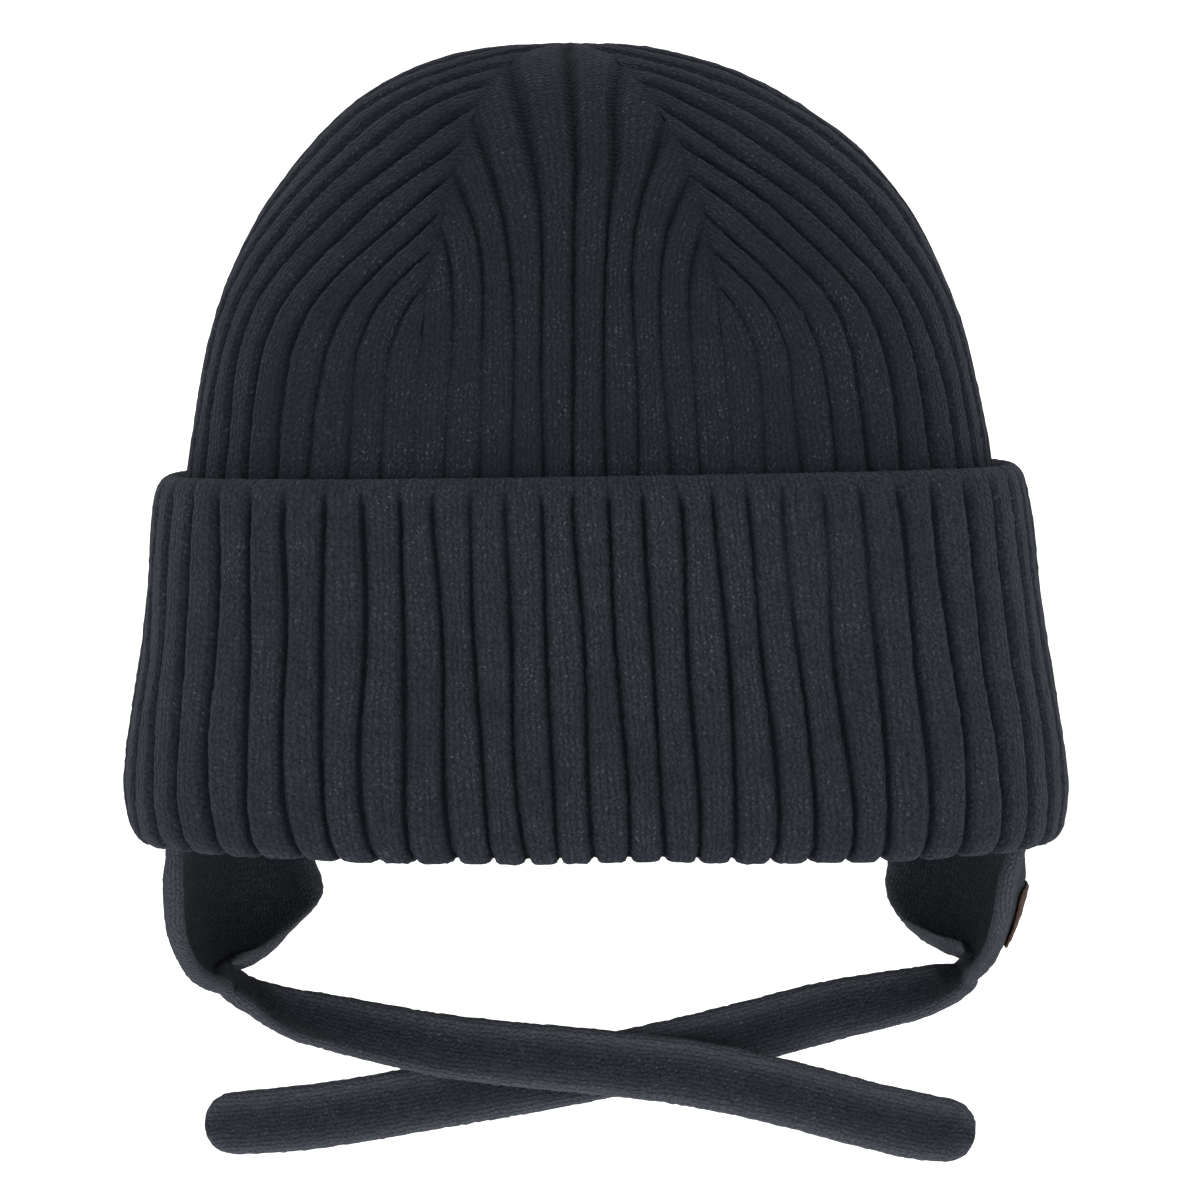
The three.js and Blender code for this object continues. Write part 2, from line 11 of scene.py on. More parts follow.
import bpy
import numpy as np
from bpy.props import FloatProperty, FloatVectorProperty, IntProperty, PointerProperty
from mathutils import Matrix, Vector


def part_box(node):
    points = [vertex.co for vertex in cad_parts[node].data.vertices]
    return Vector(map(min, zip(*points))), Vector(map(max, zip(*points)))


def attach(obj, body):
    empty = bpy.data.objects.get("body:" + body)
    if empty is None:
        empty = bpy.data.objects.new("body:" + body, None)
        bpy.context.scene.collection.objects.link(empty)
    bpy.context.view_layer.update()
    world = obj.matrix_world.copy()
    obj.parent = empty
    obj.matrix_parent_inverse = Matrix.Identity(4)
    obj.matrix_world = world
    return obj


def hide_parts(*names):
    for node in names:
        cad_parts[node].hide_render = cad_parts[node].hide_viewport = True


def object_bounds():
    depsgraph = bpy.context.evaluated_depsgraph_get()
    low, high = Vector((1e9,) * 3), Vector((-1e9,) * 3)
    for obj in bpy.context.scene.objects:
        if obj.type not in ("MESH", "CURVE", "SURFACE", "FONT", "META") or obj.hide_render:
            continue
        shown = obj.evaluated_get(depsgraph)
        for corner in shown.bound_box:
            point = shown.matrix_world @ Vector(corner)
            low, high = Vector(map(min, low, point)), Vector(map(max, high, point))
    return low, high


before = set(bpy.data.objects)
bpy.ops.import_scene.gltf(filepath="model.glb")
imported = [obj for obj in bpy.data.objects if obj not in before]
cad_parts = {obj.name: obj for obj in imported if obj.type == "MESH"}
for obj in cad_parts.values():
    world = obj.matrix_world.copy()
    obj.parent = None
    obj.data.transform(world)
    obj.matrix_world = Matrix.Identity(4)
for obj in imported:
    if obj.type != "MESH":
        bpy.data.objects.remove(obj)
cad_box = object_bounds()

bl_info = {
    "name": "Knit Hat with Ear Flaps",
    "version": (1, 0, 0),
    "blender": (4, 5, 0),
    "location": "3D View > Sidebar > Knit Hat",
    "description": "A ribbed hat with a turned-up cuff, ear flaps, flat ties and a leather patch",
    "category": "Mesh",
}

MM = 0.001
BODY = "root"

# Outline of the hat, as in the frame
CROWN_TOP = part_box("crown")[1].z / MM
CROWN_BASE = 80.9
CROWN_HALF_WIDTH = 83.6
CROWN_WALL = 2.2
RIM_HALF_WIDTH = 98.0
CUFF_THICKNESS = 4.4
LAYER_GAP = 0.45
DEPTH_CUT = 22.5
DOME_LEAN = 0.13
DOME_HEIGHT_POWER = 2.5
DOME_WIDTH_POWER = 2.3
TOP_DEPTH_SHARE = 0.85
PLAN_POWER = 2.8
TOP_PLAN_POWER = 2.1
PLAN_STEPS = 2880
CUFF_TOP = 76.8
CUFF_TOP_TILT = 1.4
CROWN_EDGE_HEIGHT = 5.05
CROWN_EDGE_HALF_WIDTH = RIM_HALF_WIDTH - CUFF_THICKNESS - LAYER_GAP
CUFF_LEAN = 3.6
CUFF_LEAN_SIDE = 4.2

# Length round the cuff, in half widths
CUFF_ROUND = 5.6

# The whole hat slumps a little to the wearer's right, most of all at its very top
SLUMP = 0.018
TOP_SLUMP = 2.6
TOP_SLUMP_FROM = 135.0

# Ribs: how many, how much wider they are stretched at the sides, and where a rib has columns
RIBS = 64
SIDE_STRETCH = 0.45
RIB_COLUMNS = (-0.5, -0.47, -0.43, -0.38, -0.28, -0.14, 0.0, 0.14, 0.28, 0.38, 0.43, 0.47)
GROOVE_FLOOR = 0.045
GROOVE_REACH = 0.155
RIB_SWELL = 0.22
WIDE_GROOVES = (122.0, 156.0)
TOP_GROOVE_REACH = 0.3
TOP_RIB_SWELL = 0.35
WALES_PER_RIB = 3

# The crown is knitted in four sections that lose ribs along the lines between them. The second
# table has the share of the ribs that is left at a height, by the kind of the section.
Section = namedtuple("Section", "centre ribs kind")
SECTIONS = (
    Section(centre=-0.5, ribs=10, kind="narrow"),
    Section(centre=15.5, ribs=22, kind="wide"),
    Section(centre=31.5, ribs=10, kind="narrow"),
    Section(centre=47.5, ribs=22, kind="wide"),
)
RibsLeft = namedtuple("RibsLeft", "height narrow wide")
RIBS_LEFT = (
    RibsLeft(height=0, narrow=1.0, wide=1.0),
    RibsLeft(height=102, narrow=1.0, wide=1.0),
    RibsLeft(height=112, narrow=0.97, wide=0.95),
    RibsLeft(height=119, narrow=0.92, wide=0.87),
    RibsLeft(height=125, narrow=0.84, wide=0.79),
    RibsLeft(height=132, narrow=0.71, wide=0.71),
    RibsLeft(height=141, narrow=0.53, wide=0.59),
    RibsLeft(height=154, narrow=0.33, wide=0.43),
    RibsLeft(height=CROWN_TOP, narrow=0.12, wide=0.16),
)
SEAM_DEPTH = 0.5
SEAM_REACH = 0.22

# Where the crown's relief fades: a seam is full once a share of the ribs is lost, a groove ends between
# two distances from the seam in ribs, and at the very top all relief ends between two half widths
SEAM_FADING = 0.08
GROOVE_END = (-0.5, 0.4)
TOP_FADING = (3.0, 16.0)

# Straying grows as the ribs get fewer, until this share of them is left
LEAST_RIBS_LEFT = 0.2

# Rows of the crown's two faces, on the straight part under the cuff and on the dome
FaceRows = namedtuple("FaceRows", "straight dome")
OUTER_ROWS = FaceRows(straight=9, dome=80)
INNER_ROWS = FaceRows(straight=7, dome=16)
INNER_RIB_DEPTH = 0.55
DOME_STEPS = 4001

# Points of a shell are joined where they agree in steps of this many to the mm
WELD_STEPS = 2000

# Ribs stray sideways in waves: "turns" round the head, "rise" in radians for each mm of height
Wave = namedtuple("Wave", "size turns rise start")
WANDER = (
    Wave(size=0.05, turns=14, rise=0.061, start=0.0),
    Wave(size=0.035, turns=31, rise=-0.113, start=1.7),
    Wave(size=0.035, turns=8, rise=0.031, start=4.1),
)

# Soft lumps: a wave over X and Z times a wave over Y and Z, with lengths in mm for each radian
Lump = namedtuple("Lump", "size x xz x_start y yz y_start")
LUMPS = (
    Lump(size=1.0, x=13, xz=23, x_start=0.6, y=-19, yz=17, y_start=math.pi / 2),
    Lump(size=0.6, x=6.1, xz=-8.3, x_start=0.0, y=7.7, yz=9.1, y_start=2.0),
)
CROWN_LUMP_SIZE = 0.3
CUFF_LUMP_SIZE = 0.35
STRIP_LUMP_SIZE = 0.25
STRIP_LUMPS_FROM = (8.0, 20.0)

# Where the knit is stretched over the head its grooves open up and get shallow
Area = namedtuple("Area", "rib rib_reach height height_reach change")
CROWN_AREAS = (
    Area(rib=-5.2, rib_reach=3.4, height=92, height_reach=17, change=-0.68),
    Area(rib=4.6, rib_reach=3.6, height=96, height_reach=22, change=-0.55),
    Area(rib=0.0, rib_reach=1.2, height=100, height_reach=40, change=0.25),
    Area(rib=-0.5, rib_reach=5.0, height=152, height_reach=20, change=0.5),
    Area(rib=-12.0, rib_reach=2.5, height=110, height_reach=40, change=0.2),
    Area(rib=12.0, rib_reach=2.5, height=110, height_reach=40, change=0.2),
    Area(rib=28.0, rib_reach=4.0, height=95, height_reach=20, change=-0.45),
    Area(rib=36.5, rib_reach=3.0, height=100, height_reach=20, change=-0.35),
)
CUFF_AREAS = (
    Area(rib=6.2, rib_reach=2.0, height=58, height_reach=16, change=-0.5),
    Area(rib=-3.0, rib_reach=1.5, height=66, height_reach=12, change=-0.25),
    Area(rib=34.0, rib_reach=3.0, height=60, height_reach=18, change=-0.35),
)

# Section through the cuff, from the crown's inside round the fold, up the outside and back down.
# "relief" is how much of the rib relief a place shows, "rows" how many rows lead to it.
CuffPoint = namedtuple("CuffPoint", "height half_width relief rows")
INNER_LIP = CROWN_EDGE_HALF_WIDTH - CROWN_WALL
CUFF_SECTION = (
    CuffPoint(height=4.6, half_width=INNER_LIP, relief=0.0, rows=0),
    CuffPoint(height=2.2, half_width=INNER_LIP + 0.4, relief=0.15, rows=3),
    CuffPoint(height=0.4, half_width=INNER_LIP + 2.0, relief=0.45, rows=3),
    CuffPoint(height=0.0, half_width=INNER_LIP + 4.0, relief=0.8, rows=3),
    CuffPoint(height=1.3, half_width=96.5, relief=1.0, rows=3),
    CuffPoint(height=7.5, half_width=98.2, relief=1.0, rows=6),
    CuffPoint(height=17.5, half_width=98.0, relief=1.0, rows=8),
    CuffPoint(height=28.5, half_width=96.6, relief=1.0, rows=8),
    CuffPoint(height=40.0, half_width=94.6, relief=1.0, rows=9),
    CuffPoint(height=54.0, half_width=92.9, relief=1.0, rows=10),
    CuffPoint(height=65.5, half_width=91.8, relief=1.0, rows=9),
    CuffPoint(height=71.5, half_width=91.0, relief=0.85, rows=5),
    CuffPoint(height=74.6, half_width=90.2, relief=0.3, rows=3),
    CuffPoint(height=76.3, half_width=88.9, relief=0.05, rows=3),
    CuffPoint(height=76.8, half_width=87.2, relief=0.0, rows=3),
    CuffPoint(height=75.6, half_width=85.4, relief=0.0, rows=3),
    CuffPoint(height=71.8, half_width=85.2, relief=0.0, rows=2),
    CuffPoint(height=4.6, half_width=CROWN_EDGE_HALF_WIDTH + LAYER_GAP, relief=0.0, rows=2),
)

# Ear flaps: each row runs from the front edge to the rear edge, "bow" is how far its middle stands
# out. Ties: each row runs from the lower to the upper edge.
FLAP_COLUMNS = 10
FLAP_THICKNESS = 3.2
TIP_LENGTH = 7.8
TIP_POWER = 2.3
TIP_END_WIDTH = 0.3
TIP_END_SHARE = 0.02
WALL_STEPS = 2001
WALL_CLEARANCE = 0.6
FlapRow = namedtuple("FlapRow", "front rear bow")
WallRow = namedtuple("WallRow", "front_depth rear_depth height")
TieRow = namedtuple("TieRow", "lower upper")
WALL_ROWS = (
    WallRow(front_depth=-8, rear_depth=57, height=15),
    WallRow(front_depth=-8, rear_depth=57, height=5),
    WallRow(front_depth=-8, rear_depth=57, height=-1),
)
RIGHT_FLAP = (
    FlapRow(front=(-89.8, -8, -10), rear=(-63.3, 57, -10), bow=12.8),
    FlapRow(front=(-89.2, -7, -22), rear=(-61.6, 56, -20), bow=12.5),
    FlapRow(front=(-87.0, -4, -28.4), rear=(-67.6, 46, -27), bow=8.5),
    FlapRow(front=(-83.6, 0, -33), rear=(-72.3, 32, -30.6), bow=4.0),
    FlapRow(front=(-80.6, 3.8, -35.6), rear=(-77.0, 18.0, -31.4), bow=0.8),
)
LEFT_FLAP = (
    FlapRow(front=(87.0, -8, -10), rear=(65, 57, -10), bow=13.5),
    FlapRow(front=(85.6, -7, -18.6), rear=(64.8, 56, -18.6), bow=12.0),
    FlapRow(front=(84.4, -4.5, -24.4), rear=(67.8, 49, -25.2), bow=8.0),
    FlapRow(front=(82.6, -0.8, -29.2), rear=(73.0, 34, -28.2), bow=3.8),
    FlapRow(front=(81.4, 3.8, -32.5), rear=(77.9, 17.2, -29.3), bow=0.8),
)
RIGHT_TIE = (
    TieRow(lower=(-79.5, 5.3, -35.8), upper=(-76.5, 17.1, -31.6)),
    TieRow(lower=(-73.9, 4.0, -39.7), upper=(-72.4, 15.0, -33.2)),
    TieRow(lower=(-69.8, 2.4, -42.4), upper=(-68.5, 12.4, -33.7)),
    TieRow(lower=(-64.7, 0.2, -44.6), upper=(-63.9, 9.0, -34.2)),
    TieRow(lower=(-58.3, -2.4, -46.0), upper=(-57.7, 5.2, -34.7)),
    TieRow(lower=(-45.4, -7.0, -48.4), upper=(-45.0, -2.0, -35.9)),
    TieRow(lower=(-32.8, -11.0, -50.4), upper=(-32.4, -8.0, -37.3)),
    TieRow(lower=(-18.0, -14.0, -51.9), upper=(-17.5, -12.8, -38.4)),
    TieRow(lower=(-1.5, -16.3, -53.2), upper=(-0.9, -16.0, -39.5)),
    TieRow(lower=(21.0, -17.6, -56.0), upper=(22.6, -17.6, -42.1)),
    TieRow(lower=(40.2, -17.0, -60.3), upper=(42.8, -17.0, -46.6)),
    TieRow(lower=(55.0, -15.0, -64.5), upper=(58.2, -15.0, -50.9)),
    TieRow(lower=(66.4, -13.0, -67.3), upper=(69.2, -13.0, -53.6)),
    TieRow(lower=(70.5, -12.2, -67.8), upper=(72.6, -12.2, -54.4)),
)
LEFT_TIE = (
    TieRow(lower=(80.3, 5.3, -33.6), upper=(76.6, 16.5, -30.3)),
    TieRow(lower=(77.2, 4.2, -36.6), upper=(73.7, 14.6, -30.1)),
    TieRow(lower=(73.3, 3.0, -38.4), upper=(70.5, 12.4, -29.7)),
    TieRow(lower=(68.1, 1.2, -40.0), upper=(66.4, 9.2, -29.8)),
    TieRow(lower=(61.7, -1.2, -41.2), upper=(60.6, 5.4, -30.0)),
    TieRow(lower=(48.9, -5.8, -43.6), upper=(47.7, -1.8, -31.2)),
    TieRow(lower=(36.2, -9.4, -46.7), upper=(34.9, -7.0, -33.7)),
    TieRow(lower=(21.5, -11.2, -50.4), upper=(19.9, -10.4, -37.1)),
    TieRow(lower=(0.6, -10.8, -55.1), upper=(-0.8, -10.8, -41.6)),
    TieRow(lower=(-20.3, -8.2, -59.4), upper=(-21.9, -8.2, -45.9)),
    TieRow(lower=(-37.2, -5.2, -62.7), upper=(-38.8, -5.2, -49.0)),
    TieRow(lower=(-54.1, -2.5, -65.9), upper=(-55.7, -2.5, -52.2)),
    TieRow(lower=(-69.2, 0.0, -67.8), upper=(-70.9, 0.0, -54.2)),
    TieRow(lower=(-74.7, 0.8, -68.1), upper=(-75.3, 0.8, -54.7)),
)

# Where a flap narrows into its tie, the lower part of the band is folded up towards the wearer's
# face: at a row of the strip, "reach" is its height above the lower edge and "rise" how far the
# edge stands out.
Fold = namedtuple("Fold", "row reach rise")
RIGHT_FOLDS = (
    Fold(row=5.5, reach=15.0, rise=0.0),
    Fold(row=7.0, reach=14.0, rise=1.2),
    Fold(row=8.0, reach=11.0, rise=2.0),
    Fold(row=10.0, reach=6.5, rise=2.6),
    Fold(row=12.0, reach=4.2, rise=2.2),
    Fold(row=13.5, reach=3.4, rise=1.4),
    Fold(row=15.0, reach=3.0, rise=0.0),
)
LEFT_FOLDS = (
    Fold(row=5.5, reach=15.0, rise=0.0),
    Fold(row=7.0, reach=12.0, rise=1.0),
    Fold(row=9.0, reach=7.0, rise=1.8),
    Fold(row=11.0, reach=4.0, rise=1.2),
    Fold(row=13.0, reach=3.0, rise=0.0),
)
STRIP_STEP = 0.9
STRIP_FACE_COLUMNS = 34
STRIP_EDGE_COLUMNS = 7
TIP_ROWS = 12
HEM_WIDTH = 3.2
HEM_SWELL = 0.16

# The leather patch, as places on the rows and columns of the left flap
PATCH_ROWS = (3.2, 5.0)
PATCH_COLUMNS = (0.8, 3.6)
PATCH_POWER = 7.0
PATCH_GAP = 0.05
PATCH_THICKNESS = 0.6
PATCH_POINTS = 97
PATCH_WEAR_POWER = 6
PatchRing = namedtuple("PatchRing", "share layer")
PATCH_RINGS = (
    PatchRing(share=0.0, layer=1.0),
    PatchRing(share=0.25, layer=1.0),
    PatchRing(share=0.5, layer=1.0),
    PatchRing(share=0.72, layer=1.0),
    PatchRing(share=0.86, layer=1.0),
    PatchRing(share=0.93, layer=0.97),
    PatchRing(share=0.975, layer=0.85),
    PatchRing(share=1.0, layer=0.6),
    PatchRing(share=1.0, layer=0.25),
    PatchRing(share=0.975, layer=0.03),
    PatchRing(share=0.9, layer=0.0),
    PatchRing(share=0.5, layer=0.0),
    PatchRing(share=0.0, layer=0.0),
)

# Noise in the materials: "scale" in turns for each metre, "gain" spreads its values from the middle
Noise = namedtuple("Noise", "scale detail roughness gain", defaults=(1.0,))
FIBRES = Noise(scale=2100.0, detail=2.0, roughness=0.65, gain=2.6)
TONES = Noise(scale=620.0, detail=2.0, roughness=0.6, gain=2.4)
MOTTLING = Noise(scale=90.0, detail=3.0, roughness=0.6, gain=1.8)
FLECKS = Noise(scale=2300.0, detail=1.5, roughness=0.5)
STITCH_STRAYING = Noise(scale=450.0, detail=2.0, roughness=0.5)
LEATHER_GRAIN = Noise(scale=1800.0, detail=3.0, roughness=0.6)
LEATHER_WEAR = Noise(scale=110.0, detail=3.0, roughness=0.6)
LEATHER_CELLS = 900.0
LEATHER_CELL_GAIN = 2.2
LEATHER_RELIEF = 0.12

# Stitches: how far noise moves them across and along, in stitches, how steeply a leg rises in its
# wale, how round it is, and how much of its height goes down between two courses
STRAYING_ACROSS = 0.7
STRAYING_ALONG = 2.0
LEG_RISE = 1.6
LEG_ROUNDING = 0.6
COURSE_SHARE = 0.6
FIBRE_RELIEF = 0.3
TONE_RELIEF = 0.35

# Yarn tones: the shares of the noises in its light tone, less an even part; painted shade in the pits
# between stitches, made uneven by the fibres; flecks that stand in clusters; and painted shade down in
# the grooves
Tone = namedtuple("Tone", "mottling tones fibres less")
TONE = Tone(mottling=0.2, tones=0.3, fibres=0.6, less=0.05)
PIT_SHARE = 0.6
PIT_EVEN = 1.4
PIT_FIBRES = 0.9
FLECK_SHARE = 0.42
FLECK_GAIN = 6.0
CLUSTER_GAIN = 1.8
CLUSTER_FROM = 0.4
SHADE_GAIN = 1.15
SHADE_FROM = 0.1

# The three knits: painted highlight along the hems, in the fleck colour, for edges that catch the
# light;
# share of the light tone, where the crown's small share is painted shade; and painted shade in the
# grooves
Knit = namedtuple("Knit", "name hem_light tone_share groove_shade")
CROWN_STITCHES = Knit(name="crown_stitches", hem_light=0.0, tone_share=0.34, groove_shade=0.65)
CUFF_STITCHES = Knit(name="cuff_stitches", hem_light=0.0, tone_share=0.72, groove_shade=0.85)
PLAIN_STITCHES = Knit(name="plain_stitches", hem_light=0.45, tone_share=0.62, groove_shade=1.0)

# Studio, in metres: lamps with the setting that has their power, floor and point of view
Light = namedtuple("Light", "name power size place")
LIGHTS = (
    Light(name="front_light", power="key_power", size=1.2, place=(0.25, -1.5, 0.9)),
    Light(name="left_light", power="side_power", size=0.8, place=(-1.2, -1.2, 0.1)),
    Light(name="right_light", power="side_power", size=0.8, place=(1.2, -1.2, 0.1)),
    Light(name="top_light", power="top_power", size=1.0, place=(-0.2, -0.1, 1.2)),
)
FLOOR_FRONT = -3.0
FLOOR_BACK = 2.5
FLOOR_BEND = 1.0
FLOOR_BEND_POINTS = 25
FLOOR_TOP = 3.5
FLOOR_HALF_WIDTH = 5.0
VIEW_MIDDLE = (0.00063, 0.0, 0.049)
SENSOR_WIDTH = 36.0
CLIP_START = 0.05


class HatSizes(bpy.types.PropertyGroup):
    """Sizes of the knit that can be changed without changing the outline of the hat."""

    crown_rib_depth: FloatProperty(
        name="Crown rib depth", description="Depth of the grooves between the crown's ribs",
        default=1.5 * MM, min=0, subtype="DISTANCE", unit="LENGTH")
    cuff_rib_depth: FloatProperty(
        name="Cuff rib depth", description="Depth of the grooves between the cuff's ribs",
        default=2.0 * MM, min=0, subtype="DISTANCE", unit="LENGTH")
    course_height: FloatProperty(
        name="Rib course height", description="Height of one stitch of the rib knit",
        default=1.5 * MM, min=0.5 * MM, subtype="DISTANCE", unit="LENGTH")
    plain_wale_width: FloatProperty(
        name="Plain wale width", description="Width of one stitch of the flaps and ties",
        default=1.9 * MM, min=0.5 * MM, subtype="DISTANCE", unit="LENGTH")
    plain_course_height: FloatProperty(
        name="Plain course height", description="Height of one stitch of the flaps and ties",
        default=1.35 * MM, min=0.5 * MM, subtype="DISTANCE", unit="LENGTH")
    stitch_depth: FloatProperty(
        name="Stitch depth", description="Height of the stitches in the knit's bump",
        default=0.3 * MM, min=0, subtype="DISTANCE", unit="LENGTH")
    fuzz: FloatProperty(
        name="Fuzz", description="How far single points of the yarn stray from the even surface",
        default=0.07 * MM, min=0, subtype="DISTANCE", unit="LENGTH")
    seed: IntProperty(name="Seed", description="Start value of the random unevenness", default=7)


class HatColours(bpy.types.PropertyGroup):
    """Colours of the yarn, the leather and the studio, as linear values."""

    yarn_dark: FloatVectorProperty(
        name="Yarn, dark", description="Darker tone of the mottled yarn",
        default=(0.0075, 0.009, 0.0125), subtype="COLOR", min=0, max=1)
    yarn_light: FloatVectorProperty(
        name="Yarn, light", description="Lighter tone of the mottled yarn",
        default=(0.034, 0.0395, 0.05), subtype="COLOR", min=0, max=1)
    # Painted shade: the colour for the gaps between the stitches and the ground of the grooves
    painted_shade: FloatVectorProperty(
        name="Pits", description="Gaps between the stitches and the ground of the grooves",
        default=(0.0035, 0.0043, 0.0068), subtype="COLOR", min=0, max=1)
    fleck: FloatVectorProperty(
        name="Flecks", description="Single light fibres on the yarn",
        default=(0.1, 0.108, 0.125), subtype="COLOR", min=0, max=1)
    leather: FloatVectorProperty(
        name="Leather", description="Face of the patch",
        default=(0.03, 0.014, 0.009), subtype="COLOR", min=0, max=1)
    leather_worn: FloatVectorProperty(
        name="Leather, worn", description="Rubbed edge of the patch",
        default=(0.05, 0.023, 0.014), subtype="COLOR", min=0, max=1)
    floor: FloatVectorProperty(
        name="Floor", description="Floor and backdrop", default=(0.93, 0.93, 0.93),
        subtype="COLOR", min=0, max=1)


class HatStudio(bpy.types.PropertyGroup):
    """Camera and light."""

    camera_distance: FloatProperty(
        name="Camera distance", description="From the camera to the middle of the hat",
        default=1.3, min=0.3, subtype="DISTANCE", unit="LENGTH")
    camera_elevation: FloatProperty(
        name="Camera elevation", description="Angle of the view above the horizontal",
        default=math.radians(2.8), subtype="ANGLE", unit="ROTATION")
    frame_width: FloatProperty(
        name="Frame width", description="Width of the picture at the middle of the hat",
        default=0.252, min=0.01, subtype="DISTANCE", unit="LENGTH")
    world_strength: FloatProperty(
        name="Surrounding light", description="Strength of the even white light", default=0.45)
    key_power: FloatProperty(
        name="Front light", description="Power of the large light above the camera",
        default=8.0, min=0, unit="POWER")
    side_power: FloatProperty(
        name="Side lights", description="Power of each of the two lights beside the camera",
        default=10.0, min=0, unit="POWER")
    top_power: FloatProperty(
        name="Top light", description="Power of the light over the hat",
        default=7.0, min=0, unit="POWER")
    floor_drop: FloatProperty(
        name="Floor drop", description="How far the floor lies under the hat's lowest point",
        default=0.22, min=0, subtype="DISTANCE", unit="LENGTH")


def mix(start, end, share):
    """A value between two values, at a share of the way."""
    return start + (end - start) * share


def smooth(value, low=0.0, high=1.0):
    """Rises from 0 at low to 1 at high along a cubic with level ends."""
    share = np.clip((value - low) / (high - low), 0, 1)
    return share * share * (3 - 2 * share)


def hermite(points, knots, places):
    """The smooth curve through rows of points, read at places along the knots: a cubic between
    each two rows whose slopes are the mean slopes at the rows."""
    slopes = np.gradient(points, knots, axis=0)
    row = np.clip(np.searchsorted(knots, places, side="right") - 1, 0, len(knots) - 2)
    step = (knots[row + 1] - knots[row]).reshape((-1,) + (1,) * (points.ndim - 1))
    share = ((places - knots[row]) / (knots[row + 1] - knots[row])).reshape(step.shape)
    rising = smooth(share)
    leaving = share * (1 - share) ** 2 * step
    arriving = share * share * (share - 1) * step
    start, end = points[row], points[row + 1]
    return start + (end - start) * rising + slopes[row] * leaving + slopes[row + 1] * arriving


def unit(vectors):
    """Vectors at length 1."""
    return vectors / np.maximum(np.linalg.norm(vectors, axis=-1, keepdims=True), 1e-12)


def stacked(*values):
    """Arrays brought to one shape and stacked as the coordinates of points."""
    return np.stack(np.broadcast_arrays(*values), axis=-1)


def length_along(x, y):
    """Distance passed along a line of points, from its first point."""
    return np.concatenate(([0], np.cumsum(np.hypot(np.diff(x), np.diff(y)))))


def around(half_width, half_depth, power, shares):
    """For each row, points on |x/a|^p + |y/b|^p = 1 at shares of its arc length, counted from the
    middle of the front towards +X, with the curve's outward normal. Returns x, y, nx, ny."""
    turn = np.linspace(0, 2 * np.pi, PLAN_STEPS + 1)
    sine, cosine = np.sin(turn), np.cos(turn)
    x, y = np.empty_like(shares), np.empty_like(shares)
    for row, (a, b, p) in enumerate(zip(half_width, half_depth, power)):
        curve_x = a * np.sign(sine) * np.abs(sine) ** (2 / p)
        curve_y = -b * np.sign(cosine) * np.abs(cosine) ** (2 / p)
        length = length_along(curve_x, curve_y)
        wanted = (shares[row] % 1) * length[-1]
        x[row] = np.interp(wanted, length, curve_x)
        y[row] = np.interp(wanted, length, curve_y)
    a, b, p = half_width[:, None], half_depth[:, None], power[:, None]
    nx = np.sign(x) * np.abs(x / a) ** (p - 1) / a
    ny = np.sign(y) * np.abs(y / b) ** (p - 1) / b
    size = np.maximum(np.hypot(nx, ny), 1e-12)
    return x, y, nx / size, ny / size


def outward(nx, ny, height, half_width):
    """Outward normals of rings at heights: the normal of a ring's plan, tipped so that it is at
    right angles to the line through the rings."""
    slope = unit(np.stack((np.gradient(height), -np.gradient(half_width)), axis=1))
    return stacked(nx * slope[:, :1], ny * slope[:, :1], slope[:, 1:])


def way_round(rib):
    """Share of the way round for a rib number, with the ribs stretched wider at the two sides:
    its slope is 1 less a cosine wave of two turns, made to end at 1."""
    turn = (rib / RIBS) % 1
    wave = SIDE_STRETCH * np.sin(4 * np.pi * turn) / (8 * np.pi)
    return (turn * (1 + SIDE_STRETCH / 2) - wave) / (1 + SIDE_STRETCH / 2)


def groove(rib, reach=GROOVE_REACH, swell=RIB_SWELL):
    """Depth of the groove at a rib number, 0 in the middle of a rib and 1 between two ribs: a
    narrow groove with a level floor, on top of the slow swell of the rib."""
    off = 0.5 - np.abs((rib + 0.5) % 1 - 0.5)
    narrow = 1 - smooth(off, GROOVE_FLOOR, reach)
    return mix(narrow, (1 - np.sin(np.pi * off)) ** 2, swell)


def relief_share(areas, rib, height):
    """1, plus each stretched area's change times a bell curve round its rib and height."""
    share = np.ones(np.broadcast(rib, height).shape)
    for area in areas:
        beside = (rib - area.rib + RIBS / 2) % RIBS - RIBS / 2
        above = height - area.height
        bell = np.exp(-((beside / area.rib_reach) ** 2) - (above / area.height_reach) ** 2)
        share = share + area.change * bell
    return share


def wander(rib, height):
    """How far a rib strays sideways, in ribs: the sum of the waves in WANDER."""
    turn = 2 * np.pi * rib / RIBS
    return sum(wave.size * np.sin(wave.turns * turn + wave.rise * height + wave.start)
               for wave in WANDER)


def lumps(points, size):
    """Low dents and swellings of worn knit: the sum of the products in LUMPS, times a size."""
    x, y, z = points[..., 0], points[..., 1], points[..., 2]
    return size * sum(lump.size * np.sin(x / lump.x + z / lump.xz + lump.x_start)
                      * np.sin(y / lump.y + z / lump.yz + lump.y_start) for lump in LUMPS)


def slump(height):
    """Sideways shift of the hat at a height: in proportion to it, and more near the top."""
    return -SLUMP * height - TOP_SLUMP * smooth(height, TOP_SLUMP_FROM, CROWN_TOP)


def hidden_half_width(height):
    """Half width of the crown's outside under the cuff, widening evenly towards the rim."""
    share = (CROWN_BASE - height) / (CROWN_BASE - CROWN_EDGE_HEIGHT)
    return mix(CROWN_HALF_WIDTH, CROWN_EDGE_HALF_WIDTH, share)


